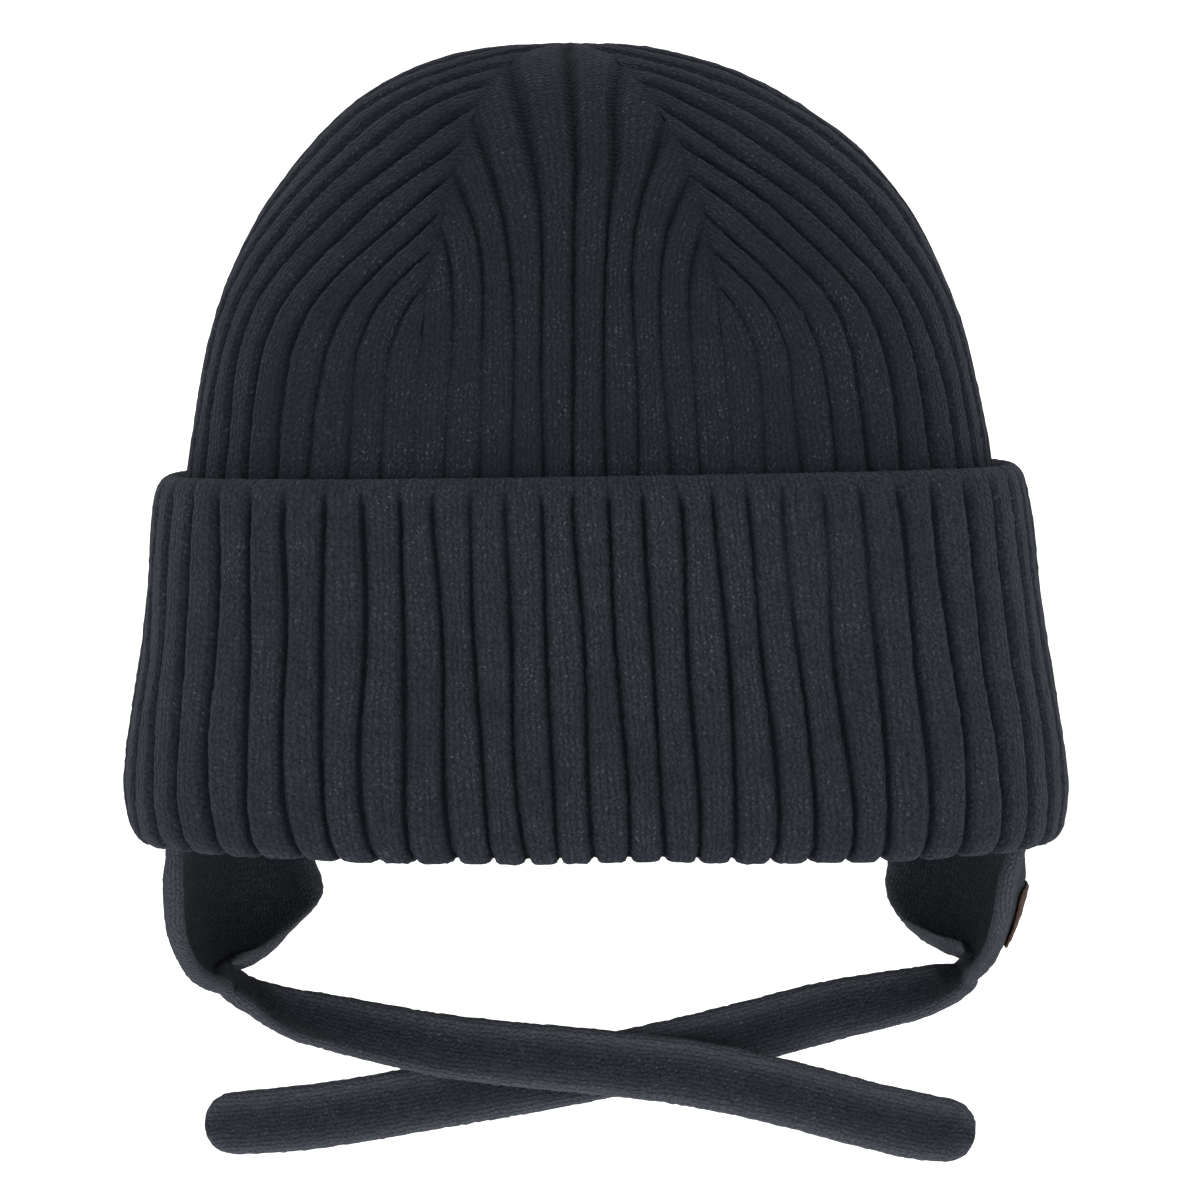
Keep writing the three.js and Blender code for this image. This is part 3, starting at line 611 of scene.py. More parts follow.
def dome_rows(angle, inset):
    """Height, half width, half depth and power of the dome at angles from its base to its top. The
    height rises with a power of the sine and the width falls with a power of the cosine."""
    rise = np.sin(angle) ** (2 / DOME_HEIGHT_POWER)
    height = CROWN_BASE + rise * (CROWN_TOP - CROWN_BASE - inset)
    base = CROWN_HALF_WIDTH - inset
    half_width = base * (1 - DOME_LEAN * rise) * np.cos(angle) ** (2 / DOME_WIDTH_POWER)
    depth_share = mix((base - DEPTH_CUT) / base, TOP_DEPTH_SHARE, rise ** 2)
    power = mix(PLAN_POWER, TOP_PLAN_POWER, rise ** 2)
    return np.stack((height, half_width, half_width * depth_share, power), axis=1)


def crown_rows(inset, counts):
    """Rows of the crown from its edge to its top, evenly spaced on the straight part and then
    along the dome's outline, each with height, half width, half depth and power."""
    band = np.linspace(CROWN_EDGE_HEIGHT, CROWN_BASE, counts.straight, endpoint=False)
    width = hidden_half_width(band) - inset
    straight = np.stack((band, width, width - DEPTH_CUT, np.full_like(band, PLAN_POWER)), axis=1)
    fine = dome_rows(np.linspace(0, np.pi / 2, DOME_STEPS), inset)
    along = length_along(fine[:, 0], fine[:, 1])
    places = np.linspace(0, along[-1], counts.dome + 1)[:-1]
    dome = np.stack([np.interp(places, along, values) for values in fine.T], axis=1)
    return np.concatenate((straight, dome))


def crown_surface(rows, depth, course):
    """One face of the crown as four grids, one a section, that meet on the seam lines. A column
    keeps its distance from its section's middle in ribs, so it reaches the seam where the dome has
    narrowed, and ends there. Returns grids of points, of stitch counts and of groove depth."""
    height = rows[:, :1]
    along = length_along(rows[:, 0], rows[:, 1])[:, None]
    levels = np.array([row.height for row in RIBS_LEFT])
    reach = mix(GROOVE_REACH, TOP_GROOVE_REACH, smooth(height, *WIDE_GROOVES))
    swell = mix(RIB_SWELL, TOP_RIB_SWELL, smooth(height, *WIDE_GROOVES))
    fading = smooth(rows[:, 1:2], *TOP_FADING)
    grids = []
    for section in SECTIONS:
        edge = section.ribs / 2
        shares = np.array([[getattr(row, section.kind)] for row in RIBS_LEFT])
        ribs_left = np.clip(hermite(shares, levels, rows[:, 0]), 0, 1)
        middles = np.arange(section.ribs) - (section.ribs - 1) / 2
        columns = np.append((middles[:, None] + RIB_COLUMNS).reshape(-1), edge)
        place = np.clip(columns, -edge * ribs_left, edge * ribs_left)
        to_seam = edge * ribs_left - np.abs(place)
        rib = section.centre + place / ribs_left
        straying = wander(section.centre + place, height) * smooth(to_seam)
        straying = straying / np.maximum(ribs_left, LEAST_RIBS_LEFT)
        x, y, nx, ny = around(rows[:, 1], rows[:, 2], rows[:, 3], way_round(rib + straying))
        grooves = groove(section.centre + place, reach, swell) * smooth(to_seam, *GROOVE_END)
        grooves = grooves * relief_share(CROWN_AREAS, rib, height)
        seam = np.exp(-((to_seam / SEAM_REACH) ** 2)) * smooth(1 - ribs_left, 0, SEAM_FADING)
        depths = np.maximum(grooves, seam * SEAM_DEPTH) * fading
        points = stacked(x, y, height)
        swelling = lumps(points, CROWN_LUMP_SIZE) - depths * depth
        points = points + outward(nx, ny, rows[:, 0], rows[:, 1]) * swelling[..., None]
        points[..., 0] += slump(height)
        stitches = stacked((section.centre + place) * WALES_PER_RIB, along / course)
        grids.append((points, stitches, depths))
    return grids


def grid_triangles(rows, columns):
    """Two triangles for each cell of a grid whose points are numbered row by row."""
    a = np.arange(rows - 1)[:, None] * columns + np.arange(columns - 1)
    b, c, d = a + 1, a + columns + 1, a + columns
    halves = np.stack((a, b, c), axis=-1), np.stack((a, c, d), axis=-1)
    return np.concatenate(halves).reshape(-1, 3)


class Shell:
    """Collects grids of points with their stitch counts and groove depths, and their triangles."""

    def __init__(self):
        self.points, self.stitches, self.depths, self.triangles = [], [], [], []
        self.count = 0

    def grid(self, points, stitches, depths=0.0, flip=False):
        """Adds a grid of rows and columns. A flipped grid faces the other way."""
        triangles = grid_triangles(*points.shape[:2]) + self.count
        self.points.append(points.reshape(-1, 3))
        self.stitches.append(stitches.reshape(-1, 2))
        self.depths.append(np.broadcast_to(depths, points.shape[:-1]).reshape(-1))
        self.triangles.append(triangles[:, ::-1] if flip else triangles)
        self.count += len(self.points[-1])

    def cap(self, ring, stitches, middle, middle_stitches, flip=False):
        """Closes a ring with a fan of triangles to its middle."""
        points = np.stack(np.broadcast_arrays(ring, middle))
        self.grid(points, np.stack((stitches, middle_stitches)), flip=flip)

    def welded(self):
        """Joins points that coincide, drops triangles that collapse and turns the faces outwards.
        The stitch counts stay with the corners of the triangles, so they may jump at a join."""
        points, triangles = np.concatenate(self.points), np.concatenate(self.triangles)
        keys = np.round(points * WELD_STEPS).astype(np.int64)
        _, first, same = np.unique(keys, axis=0, return_index=True, return_inverse=True)
        joined = same.reshape(-1)[triangles]
        whole = (joined != np.roll(joined, 1, axis=1)).all(axis=1)
        corners = np.concatenate(self.stitches)[triangles[whole]]
        joined, points = joined[whole], points[first]
        a, b, c = (points[joined[:, k]] for k in range(3))
        if (a * np.cross(b, c)).sum() < 0:
            joined, corners = joined[:, ::-1], corners[:, ::-1]
        return points, joined, corners, np.concatenate(self.depths)[first]


def add_piece(name, shell, material, slot, *nodes):
    """Makes a mesh of a shell, in metres, with the UV map "knit" and the attribute "groove", and
    hangs it on the hat's one body in place of its nodes in the frame."""
    points, triangles, corners, depths = shell.welded()
    sizes = bpy.context.scene.hat_sizes
    stray = np.random.default_rng(sizes.seed).normal(0, sizes.fuzz / MM, points.shape)
    mesh = bpy.data.meshes.new(name)
    mesh.from_pydata(((points + stray) * MM).tolist(), [], triangles.tolist())
    mesh.polygons.foreach_set("use_smooth", np.ones(len(triangles), bool))
    uv_map = mesh.uv_layers.new(name="knit")
    uv_map.data.foreach_set("uv", corners.reshape(-1).astype(np.float32))
    groove_depth = mesh.attributes.new("groove", "FLOAT", "POINT")
    groove_depth.data.foreach_set("value", depths.astype(np.float32))
    mesh.materials.append(material)
    mesh.update()
    piece = bpy.data.objects.new(name, mesh)
    bpy.context.scene.collection.objects.link(piece)
    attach(piece, BODY)
    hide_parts(*nodes)


def crown_shell(sizes):
    """The crown's outer face, its inner face a wall's thickness inside it, and the edge between."""
    shell = Shell()
    course = sizes.course_height / MM
    outer = crown_surface(crown_rows(0, OUTER_ROWS), sizes.crown_rib_depth / MM, course)
    inner = crown_surface(crown_rows(CROWN_WALL, INNER_ROWS), INNER_RIB_DEPTH, course)
    for grids, top, flip in ((outer, CROWN_TOP, False), (inner, CROWN_TOP - CROWN_WALL, True)):
        for points, stitches, depths in grids:
            shell.grid(points, stitches, depths, flip)
            middle = (slump(top), 0, top)
            shell.cap(points[-1], stitches[-1], middle, stitches[-1] + (0, 1), flip)
    for (points, stitches, _), (inner_points, _, _) in zip(outer, inner):
        edge = np.stack((inner_points[0], points[0]))
        shell.grid(edge, np.stack((stitches[0], stitches[0])))
    return shell


def cuff_shell(sizes):
    """The cuff: its closed section carried round the head. The rib relief dents it along the
    section's own normal, so the grooves also notch the fold. Towards the fold the front ribs lean."""
    course = sizes.course_height / MM
    section = np.array([(point.height, point.half_width, point.relief) for point in CUFF_SECTION])
    knots = length_along(section[:, 0], section[:, 1])
    steps = [np.linspace(start, end, point.rows + 1)[1:]
             for start, end, point in zip(knots, knots[1:], CUFF_SECTION[1:])]
    places = np.concatenate([knots[:1], *steps])
    rows = hermite(section, knots, places)
    height, half_width, relief = rows[:, :1], rows[:, 1:2], np.clip(rows[:, 2:], 0, 1)
    rib = np.append((np.arange(RIBS)[:, None] + RIB_COLUMNS).reshape(-1), RIBS - 0.5)
    turn = 2 * np.pi * rib / RIBS
    front = (1 + np.cos(turn)) / 2
    lean = front * (CUFF_LEAN - CUFF_LEAN_SIDE * np.sin(turn)) * (1 - height / CUFF_TOP)
    place = rib + lean * RIBS / (CUFF_ROUND * half_width) + wander(rib, height) * relief
    power = np.full(len(rows), PLAN_POWER)
    x, y, nx, ny = around(rows[:, 1], rows[:, 1] - DEPTH_CUT, power, way_round(place))
    depths = groove(rib) * relief * relief_share(CUFF_AREAS, rib, height)
    points = stacked(x, y, height)
    swelling = lumps(points, CUFF_LUMP_SIZE) * relief - depths * sizes.cuff_rib_depth / MM
    points = points + outward(nx, ny, rows[:, 0], rows[:, 1]) * swelling[..., None]
    points[..., 2] += CUFF_TOP_TILT * (x / RIM_HALF_WIDTH) * smooth(height / CUFF_TOP)
    points[..., 0] += slump(height)
    stitches = stacked(rib * WALES_PER_RIB, -places[:, None] / course)
    shell = Shell()
    shell.grid(points, stitches, depths)
    shell.grid(np.stack((points[-1], points[0])), np.stack((stitches[-1], stitches[-1])))
    return shell


def wall_points(row, side):
    """Points of a flap's row that lies on the inside of the crown's wall, a clearance inside it."""
    inside = hidden_half_width(max(row.height, CROWN_EDGE_HEIGHT)) - CROWN_WALL - WALL_CLEARANCE
    size = [np.array([value]) for value in (inside, inside - DEPTH_CUT, PLAN_POWER)]
    shares = np.linspace(0, 0.5, WALL_STEPS)
    x, y, _, _ = around(*size, shares[None, :])
    ends = np.interp((row.front_depth, row.rear_depth), y[0], shares)
    x, y, _, _ = around(*size, np.linspace(*ends, FLAP_COLUMNS)[None, :])
    return stacked(side * x[0], y[0], float(row.height))


def bowed_points(row, side):
    """Points of a flap's row below the rim: a straight line that bows outwards as a parabola."""
    share = np.linspace(0, 1, FLAP_COLUMNS)[:, None]
    front, rear = np.array(row.front, float), np.array(row.rear, float)
    out = unit(np.array([rear[1] - front[1], front[0] - rear[0], 0.0]))
    out = out * np.sign(out[0]) * side
    return mix(front, rear, share) + out * row.bow * 4 * share * (1 - share)


def strip_net(flap_rows, tie_rows, side):
    """Control points on the middle layer of a flap and its tie, row by row, and the places of the
    rows along the strip. The flap's rows are given on its outer face and are moved half its
    thickness inwards; the tie's rows already lie on the middle layer."""
    flap = np.array([wall_points(row, side) for row in WALL_ROWS]
                    + [bowed_points(row, side) for row in flap_rows])
    normal = unit(np.cross(np.gradient(flap, axis=1), np.gradient(flap, axis=0))) * side
    lower, upper = (np.array([getattr(row, edge) for row in tie_rows], float)[:, None]
                    for edge in ("lower", "upper"))
    tie = mix(lower, upper, np.linspace(0, 1, FLAP_COLUMNS)[:, None])
    net = np.concatenate((flap + normal * FLAP_THICKNESS / 2, tie))
    half = FLAP_COLUMNS // 2
    middle = net[:, half - 1:half + 1].mean(axis=1)
    steps = np.linalg.norm(np.diff(middle, axis=0), axis=1)
    return net, np.concatenate(([0], np.cumsum(steps)))


def across(net, places):
    """Reads each row of a net at places counted in columns: a cubic between each two columns."""
    slopes = np.gradient(net, axis=1)
    column = np.clip(np.floor(places), 0, net.shape[1] - 2).astype(int)[..., None]
    share = places[..., None] - column
    start, end = np.take_along_axis(net, column, 1), np.take_along_axis(net, column + 1, 1)
    leaving = np.take_along_axis(slopes, column, 1) * share * (1 - share) ** 2
    arriving = np.take_along_axis(slopes, column + 1, 1) * share * share * (share - 1)
    return start + (end - start) * smooth(share) + leaving + arriving


def strip_section(width):
    """A flat band's closed outline for each width: distances across from the middle, layers from
    -1 to 1, and the width of knit passed. The faces are flat and the edges are half circles as
    thick as the band. The back's knit is counted anew, so its ends repeat those of the edges."""
    radius = np.minimum(FLAP_THICKNESS / 2, width / 2)[:, None]
    flat = width[:, None] / 2 - radius
    level = np.ones_like(flat)
    bend = np.linspace(0, np.pi, STRIP_EDGE_COLUMNS)
    face = np.linspace(-1, 1, STRIP_FACE_COLUMNS)
    right = flat + radius * np.sin(bend)
    front = -face[1:-1] * flat
    back = face * flat
    distance = np.concatenate((right, front, -right, back), axis=1)
    layer = np.concatenate((-np.cos(bend), np.ones(len(face) - 2), np.cos(bend), -np.ones(len(face))))
    knit_right = flat + radius * (np.pi - bend)
    knitted = np.concatenate((knit_right, front, -flat - radius * bend, back), axis=1)
    return distance, layer * level, knitted


def strip_shell(flap_rows, tie_rows, folds, side, sizes):
    """A flap and its tie as one band: closed sections along the strip, with a blunt tip. The
    hem along both edges is a little thicker than the field between. Below its crease the band is
    tilted, in proportion to the distance from the crease."""
    net, knots = strip_net(flap_rows, tie_rows, side)
    body = np.linspace(0, knots[-1], int(knots[-1] / STRIP_STEP))
    rounding = np.linspace(0, np.pi / 2, TIP_ROWS + 1)[1:]
    tip_reach = TIP_LENGTH * np.sin(rounding) ** (2 / TIP_POWER)
    along_tip = unit(net[-1].mean(axis=0) - net[-2].mean(axis=0))
    rows = hermite(net, knots, body)
    rows = np.concatenate((rows, rows[-1] + along_tip * tip_reach[:, None, None]))
    places = np.concatenate((body, knots[-1] + tip_reach))
    tip_share = np.concatenate((np.ones(len(body)), np.abs(np.cos(rounding)) ** (2 / TIP_POWER)))
    width = np.linalg.norm(np.diff(rows, axis=1), axis=2).sum(axis=1)
    shown = np.maximum(width * tip_share, TIP_END_WIDTH)
    distance, layer, knitted = strip_section(shown)
    column = (distance / width[:, None] + 0.5) * (FLAP_COLUMNS - 1)
    normal = unit(np.cross(np.gradient(rows, axis=1), np.gradient(rows, places, axis=0)))
    normal = unit(across(normal, column))
    to_edge = shown[:, None] / 2 - np.abs(distance)
    hem = 1 + HEM_SWELL * np.exp(-(((to_edge - HEM_WIDTH / 2) / (HEM_WIDTH / 2)) ** 2))
    thickness = FLAP_THICKNESS * np.sqrt(np.maximum(tip_share, TIP_END_SHARE))[:, None]
    points = across(rows, column) + normal * (layer * thickness / 2 * hem)[..., None]
    fold_places = np.interp([fold.row for fold in folds], np.arange(len(knots)), knots)
    fold_reach = np.interp(places, fold_places, [fold.reach for fold in folds])[:, None]
    fold_rise = np.interp(places, fold_places, [fold.rise for fold in folds])[:, None]
    to_crease = np.clip(1 - (shown[:, None] / 2 + distance) / fold_reach, 0, 1)
    points = points + normal * (side * fold_rise * to_crease)[..., None]
    swelling = lumps(points, STRIP_LUMP_SIZE) * smooth(places, *STRIP_LUMPS_FROM)[:, None]
    points = points + normal * swelling[..., None]
    wale, course = sizes.plain_wale_width / MM, sizes.plain_course_height / MM
    stitches = stacked(knitted / wale, places[:, None] / course)
    shell = Shell()
    # Negative groove values mark the hems, where the material paints a highlight
    shell.grid(points, stitches, -np.exp(-((to_edge / HEM_WIDTH) ** 2)))
    for end, flip in ((0, True), (-1, False)):
        middle = points[end].mean(axis=0)
        shell.cap(points[end], stitches[end], middle, stitches[end] * (0, 1), flip)
    return shell


def patch_shell():
    """The patch: a rounded rectangle on the left flap's outer face, given by rings that widen from
    the middle of its face, run round its edge and shrink to the middle of its back."""
    net, knots = strip_net(LEFT_FLAP, LEFT_TIE, 1)
    turn = np.linspace(0, 1, PATCH_POINTS)[None, :]
    wide, tall = around(np.ones(1), np.ones(1), np.full(1, PATCH_POWER), turn)[:2]
    share = np.array([[ring.share] for ring in PATCH_RINGS])
    layer = np.array([[ring.layer] for ring in PATCH_RINGS])
    row = mix(*PATCH_ROWS, (share * tall + 1) / 2).reshape(-1)
    column = mix(*PATCH_COLUMNS, (share * wide + 1) / 2).reshape(-1, 1)
    places = np.interp(row, np.arange(len(knots)), knots)
    normals = unit(np.cross(np.gradient(net, axis=1), np.gradient(net, axis=0)))
    middle = across(hermite(net, knots, places), column)
    out = unit(across(hermite(normals, knots, places), column))
    out = out * np.sign(out[..., :1])
    lift = FLAP_THICKNESS / 2 * (1 + HEM_SWELL) + PATCH_GAP + layer * PATCH_THICKNESS
    shape = (len(PATCH_RINGS), PATCH_POINTS, 3)
    points = middle.reshape(shape) + out.reshape(shape) * lift[..., None]
    shell = Shell()
    shell.grid(points, stacked(share * wide, share * tall), layer * share ** PATCH_WEAR_POWER)
    return shell


class Socket:
    """An output of a shader node. Sums written with it become Math nodes."""

    def __init__(self, tree, node, output=0):
        self.tree, self.node, self.output = tree, node, output

    def other(self, output):
        """Another output of the same node."""
        return Socket(self.tree, self.node, output)

    def maths(self, operation, *values, **settings):
        settings["operation"] = operation
        return self.tree.add("ShaderNodeMath", settings, dict(enumerate(values)))

    def __add__(self, other):
        return self.maths("ADD", self, other)

    def __sub__(self, other):
        return self.maths("SUBTRACT", self, other)

    def __rsub__(self, other):
        return self.maths("SUBTRACT", other, self)

    def __mul__(self, other):
        return self.maths("MULTIPLY", self, other)

    def __pow__(self, other):
        return self.maths("POWER", self, other)

    def __abs__(self):
        return self.maths("ABSOLUTE", self)

    def fraction(self):
        return self.maths("FRACT", self)

    def sine(self):
        return self.maths("SINE", self)

    def cosine(self):
        return self.maths("COSINE", self)

    def clamped(self):
        return self.maths("ADD", self, 0.0, use_clamp=True)


class Tree:
    """A material's node tree."""

    def __init__(self, name):
        self.material = bpy.data.materials.new(name)
        self.material.use_nodes = True
        self.nodes, self.links = self.material.node_tree.nodes, self.material.node_tree.links
        self.nodes.clear()

    def add(self, kind, settings=None, inputs=None, output=0):
        """Adds a node of a type, with its settings made first and then its inputs' values or links,
        and returns one of its outputs."""
        node = self.nodes.new(kind)
        for name, value in (settings or {}).items():
            setattr(node, name, value)
        for name, value in (inputs or {}).items():
            if isinstance(value, Socket):
                self.links.new(value.node.outputs[value.output], node.inputs[name])
            else:
                node.inputs[name].default_value = value
        return Socket(self, node, output)

    def object_place(self):
        """Object coordinates of the shaded point."""
        return self.add("ShaderNodeTexCoord", output=3)

    def groove_depth(self):
        """The mesh's "groove" attribute."""
        return self.add("ShaderNodeAttribute", {"attribute_name": "groove"}, output=2)

    def mixed(self, factor, first, second):
        """A colour between two colours."""
        return self.add("ShaderNodeMix", {"data_type": "RGBA"}, {0: factor, 6: first, 7: second}, 2)

    def noise(self, place, noise):
        """Noise with its values as they are."""
        inputs = {"Vector": place, "Scale": noise.scale, "Detail": noise.detail}
        return self.add("ShaderNodeTexNoise", {}, {**inputs, "Roughness": noise.roughness})

    def spread_noise(self, place, noise):
        """Noise with its values spread out from the middle by its gain."""
        return ((self.noise(place, noise) - 0.5) * noise.gain + 0.5).clamped()

    def surface(self, inputs):
        """The finished material, with a Principled shader as its surface."""
        shader = self.add("ShaderNodeBsdfPrincipled", {}, inputs)
        self.add("ShaderNodeOutputMaterial", {}, {"Surface": shader})
        return self.material


def opaque(colour):
    """A colour with full alpha."""
    return (*colour, 1.0)


def knit_material(knit):
    """Knit: V stitches from the UV map. In a wale two legs rise from its middle to its sides, and
    a cosine along the slanted leg parts one course from the next. The yarn's colour is mottled by
    three sizes of noise and carries light flecks; painted shade darkens the pits between the
    stitches and the grooves, and a painted highlight lightens the hems."""
    colours, sizes = bpy.context.scene.hat_colours, bpy.context.scene.hat_sizes
    tree = Tree(knit.name)
    counts = tree.add("ShaderNodeUVMap", {"uv_map": "knit"})
    parts = tree.add("ShaderNodeSeparateXYZ", {}, {0: counts})
    place = tree.object_place()
    uneven = tree.noise(place, STITCH_STRAYING) - 0.5
    wale = parts + uneven * STRAYING_ACROSS
    course = parts.other(1) + uneven * STRAYING_ALONG
    leg = abs((wale + 0.5).fraction() - 0.5)
    across_leg = (leg * (2 * math.pi)).sine().clamped() ** LEG_ROUNDING
    along_leg = ((course - leg * LEG_RISE) * (2 * math.pi)).cosine() * 0.5 + 0.5
    stitch = across_leg * (along_leg * COURSE_SHARE + (1 - COURSE_SHARE))
    fibres, tones, mottling = (tree.spread_noise(place, noise) for noise in (FIBRES, TONES, MOTTLING))
    clusters = (mottling * CLUSTER_GAIN - CLUSTER_FROM).clamped()
    flecks = ((tree.noise(place, FLECKS) - (1 - FLECK_SHARE)) * FLECK_GAIN).clamped() * clusters
    groove_depth = tree.groove_depth()
    shade = ((groove_depth * SHADE_GAIN - SHADE_FROM) * knit.groove_shade).clamped()
    hem = (groove_depth * -1.0).clamped()
    tone = mottling * TONE.mottling + tones * TONE.tones + fibres * TONE.fibres - TONE.less
    # The crown's small tone share darkens its yarn below the cuff's: painted shade
    tone = (tone * knit.tone_share).clamped()
    # Painted shade in the pits between the stitches
    pit_shade = ((1 - stitch) * PIT_SHARE * (fibres * -PIT_FIBRES + PIT_EVEN)).clamped()
    colour = tree.mixed(tone, opaque(colours.yarn_dark), opaque(colours.yarn_light))
    colour = tree.mixed(flecks * stitch, colour, opaque(colours.fleck))
    # Painted highlight along the hems, for edges that catch the light
    colour = tree.mixed(hem * knit.hem_light, colour, opaque(colours.fleck))
    colour = tree.mixed(pit_shade, colour, opaque(colours.painted_shade))
    colour = tree.mixed(shade, colour, opaque(colours.painted_shade))
    relief = stitch + fibres * FIBRE_RELIEF + tones * TONE_RELIEF
    bump = {"Strength": 1.0, "Distance": sizes.stitch_depth, "Height": relief}
    return tree.surface({
        "Base Color": colour,
        "Roughness": 0.95,
        "Specular IOR Level": 0.08,
        "Sheen Weight": 0.05,
        "Sheen Roughness": 0.4,
        "Sheen Tint": (0.75, 0.82, 1.0, 1.0),
        "Normal": tree.add("ShaderNodeBump", {}, bump),
    })


def leather_material():
    """Leather: two sizes of grain, with the edge and some high spots rubbed lighter."""
    colours = bpy.context.scene.hat_colours
    tree = Tree("leather")
    place = tree.object_place()
    cells = {"Vector": place, "Scale": LEATHER_CELLS}
    grain = tree.add("ShaderNodeTexVoronoi", {"feature": "DISTANCE_TO_EDGE"}, cells)
    grain = (grain * LEATHER_CELL_GAIN).clamped()
    fine = tree.noise(place, LEATHER_GRAIN)
    edge = tree.groove_depth().clamped()
    worn = (tree.noise(place, LEATHER_WEAR) * 0.5 + edge * 0.7 - 0.15).clamped()
    bump = {"Strength": 0.6, "Distance": LEATHER_RELIEF * MM, "Height": grain + fine * 0.5}
    return tree.surface({
        "Base Color": tree.mixed(worn, opaque(colours.leather), opaque(colours.leather_worn)),
        "Roughness": (fine * 0.25 + 0.65).clamped(),
        "Specular IOR Level": 0.15,
        "Normal": tree.add("ShaderNodeBump", {}, bump),
    })


class AddCrown(bpy.types.Operator):
    """Adds the ribbed crown."""

    bl_idname = "knit_hat.add_crown"
    bl_label = "Add Crown"

    def execute(self, context):
        shell = crown_shell(context.scene.hat_sizes)
        add_piece("crown_knit", shell, knit_material(CROWN_STITCHES), "rib_knit", "crown")
        return {"FINISHED"}


class AddCuff(bpy.types.Operator):
    """Adds the turned-up cuff."""

    bl_idname = "knit_hat.add_cuff"
    bl_label = "Add Cuff"

    def execute(self, context):
        shell = cuff_shell(context.scene.hat_sizes)
        add_piece("cuff_knit", shell, knit_material(CUFF_STITCHES), "rib_knit", "cuff")
        return {"FINISHED"}


class AddFlaps(bpy.types.Operator):
    """Adds the two ear flaps, each in one piece with its tie."""

    bl_idname = "knit_hat.add_flaps"
    bl_label = "Add Flaps and Ties"

    def execute(self, context):
        sizes = context.scene.hat_sizes
        right = strip_shell(RIGHT_FLAP, RIGHT_TIE, RIGHT_FOLDS, -1, sizes)
        left = strip_shell(LEFT_FLAP, LEFT_TIE, LEFT_FOLDS, 1, sizes)
        plain = knit_material(PLAIN_STITCHES)
        add_piece("flap_tie_right", right, plain, "plain_knit", "ear_flap_right", "tie_right")
        add_piece("flap_tie_left", left, plain, "plain_knit", "ear_flap_left", "tie_left")
        return {"FINISHED"}


class AddPatch(bpy.types.Operator):
    """Adds the bare leather patch on the left flap."""

    bl_idname = "knit_hat.add_patch"
    bl_label = "Add Patch"

    def execute(self, context):
        add_piece("patch_leather", patch_shell(), leather_material(), "patch_leather", "label_patch")
        return {"FINISHED"}


def add_light(light, power, target):
    """A round lamp that faces a target."""
    lamp = bpy.data.lights.new(light.name, "AREA")
    lamp.shape, lamp.size, lamp.energy = "DISK", light.size, power
    stand = bpy.data.objects.new(light.name, lamp)
    stand.location = light.place
    stand.rotation_euler = (target - Vector(light.place)).to_track_quat("-Z", "Y").to_euler()
    bpy.context.scene.collection.objects.link(stand)


def add_floor(level, colour):
    """A floor that curves up behind the hat: a profile of depth and height carried along X."""
    bend = np.linspace(0, np.pi / 2, FLOOR_BEND_POINTS)
    behind = FLOOR_BACK + FLOOR_BEND * np.sin(bend)
    depth = np.concatenate(([FLOOR_FRONT], behind, [FLOOR_BACK + FLOOR_BEND]))
    rise = np.concatenate(([0], FLOOR_BEND * (1 - np.cos(bend)), [FLOOR_TOP]))
    x = np.array([-FLOOR_HALF_WIDTH, 0, FLOOR_HALF_WIDTH])
    points = stacked(x, depth[:, None], level + rise[:, None])
    triangles = grid_triangles(*points.shape[:2])
    mesh = bpy.data.meshes.new("floor")
    mesh.from_pydata(points.reshape(-1, 3).tolist(), [], triangles.tolist())
    mesh.polygons.foreach_set("use_smooth", np.ones(len(triangles), bool))
    mesh.materials.append(Tree("floor").surface({
        "Base Color": opaque(colour),
        "Roughness": 0.9,
        "Emission Color": (1.0, 1.0, 1.0, 1.0),
        "Emission Strength": 0.6,
    }))
    floor = bpy.data.objects.new("floor", mesh)
    bpy.context.scene.collection.objects.link(floor)


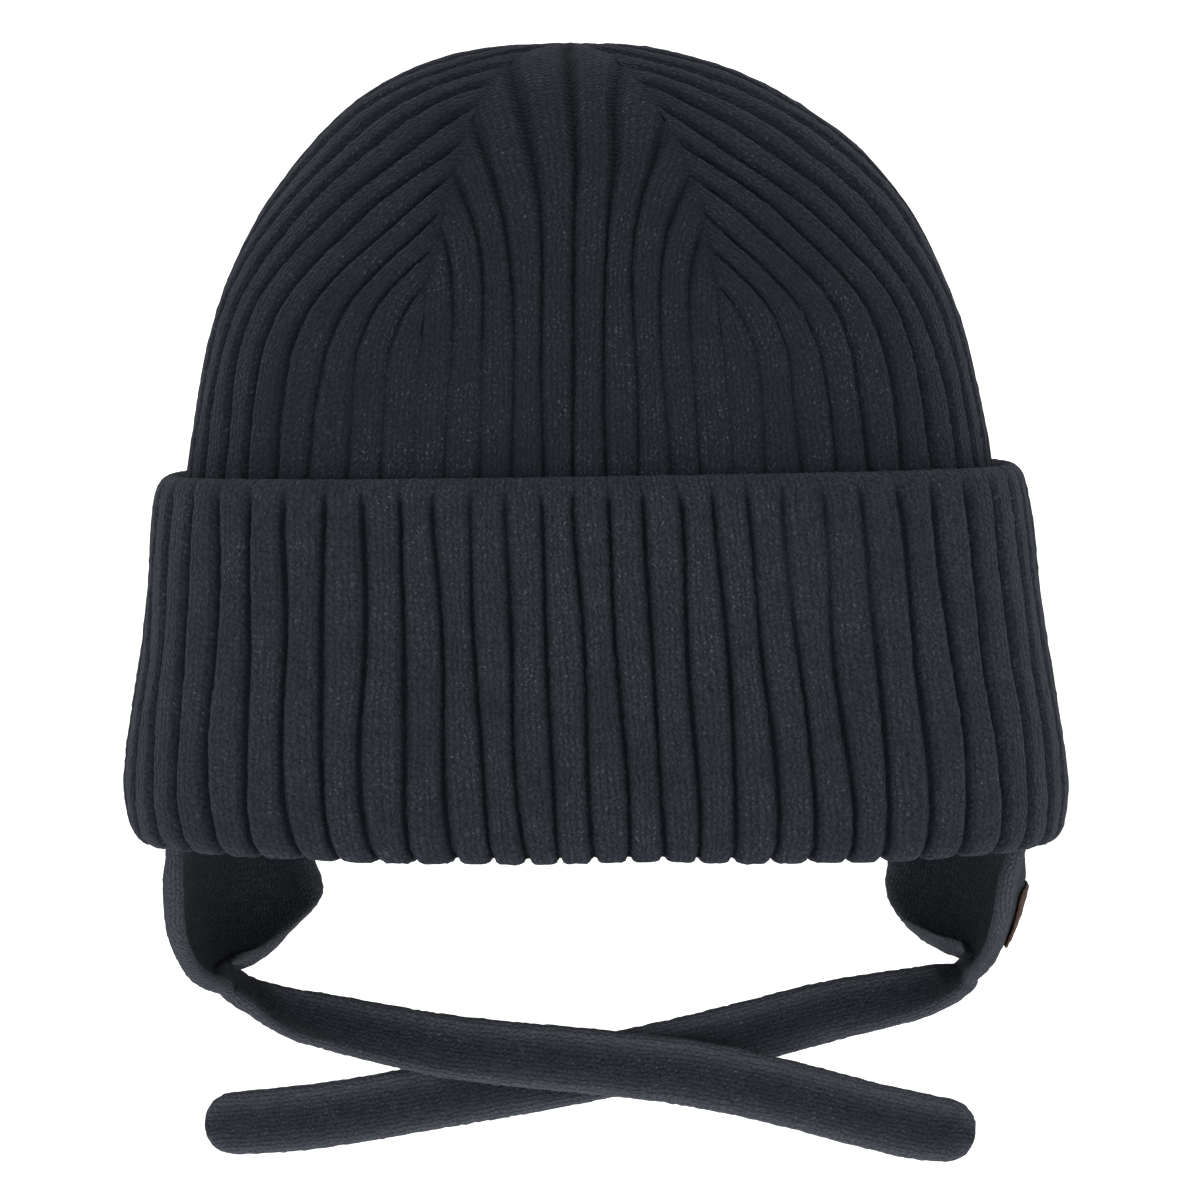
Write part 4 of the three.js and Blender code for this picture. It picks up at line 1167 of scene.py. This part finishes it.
class AddStudio(bpy.types.Operator):
    """Adds the floor with its curved backdrop, the lights and the camera."""

    bl_idname = "knit_hat.add_studio"
    bl_label = "Add Studio"

    def execute(self, context):
        scene = context.scene
        studio = scene.hat_studio
        add_floor(cad_box[0][2] - studio.floor_drop, scene.hat_colours.floor)
        world = bpy.data.worlds.new("studio")
        world.use_nodes = True
        background = world.node_tree.nodes["Background"]
        background.inputs["Color"].default_value = (1, 1, 1, 1)
        background.inputs["Strength"].default_value = studio.world_strength
        scene.world = world
        middle = Vector(VIEW_MIDDLE)
        for light in LIGHTS:
            add_light(light, getattr(studio, light.power), middle)
        rise = studio.camera_elevation
        offset = Vector((0, -math.cos(rise), math.sin(rise))) * studio.camera_distance
        lens = bpy.data.cameras.new("camera")
        lens.sensor_width = SENSOR_WIDTH
        lens.lens = SENSOR_WIDTH * studio.camera_distance / studio.frame_width
        lens.clip_start = CLIP_START
        camera = bpy.data.objects.new("camera", lens)
        camera.location = middle + offset
        camera.rotation_euler = (-offset).to_track_quat("-Z", "Y").to_euler()
        scene.collection.objects.link(camera)
        scene.camera = camera
        scene.view_settings.view_transform = "Standard"
        return {"FINISHED"}


class HatPanel(bpy.types.Panel):
    """Lists the hat's pieces and settings."""

    bl_idname = "VIEW3D_PT_knit_hat"
    bl_label = "Knit Hat"
    bl_space_type = "VIEW_3D"
    bl_region_type = "UI"
    bl_category = "Knit Hat"

    def draw(self, context):
        for operator in OPERATORS:
            self.layout.operator(operator.bl_idname)
        for group in (context.scene.hat_sizes, context.scene.hat_colours, context.scene.hat_studio):
            box = self.layout.box()
            for name in group.__annotations__:
                box.prop(group, name)


OPERATORS = (AddCrown, AddCuff, AddFlaps, AddPatch, AddStudio)
CLASSES = (HatSizes, HatColours, HatStudio, *OPERATORS, HatPanel)


def register():
    for item in CLASSES:
        bpy.utils.register_class(item)
    bpy.types.Scene.hat_sizes = PointerProperty(type=HatSizes)
    bpy.types.Scene.hat_colours = PointerProperty(type=HatColours)
    bpy.types.Scene.hat_studio = PointerProperty(type=HatStudio)


def unregister():
    del bpy.types.Scene.hat_sizes, bpy.types.Scene.hat_colours, bpy.types.Scene.hat_studio
    for item in reversed(CLASSES):
        bpy.utils.unregister_class(item)


def main():
    """Adds the hat and its studio."""
    register()
    bpy.ops.knit_hat.add_crown()
    bpy.ops.knit_hat.add_cuff()
    bpy.ops.knit_hat.add_flaps()
    bpy.ops.knit_hat.add_patch()
    bpy.ops.knit_hat.add_studio()


if __name__ == "__main__":
    main()
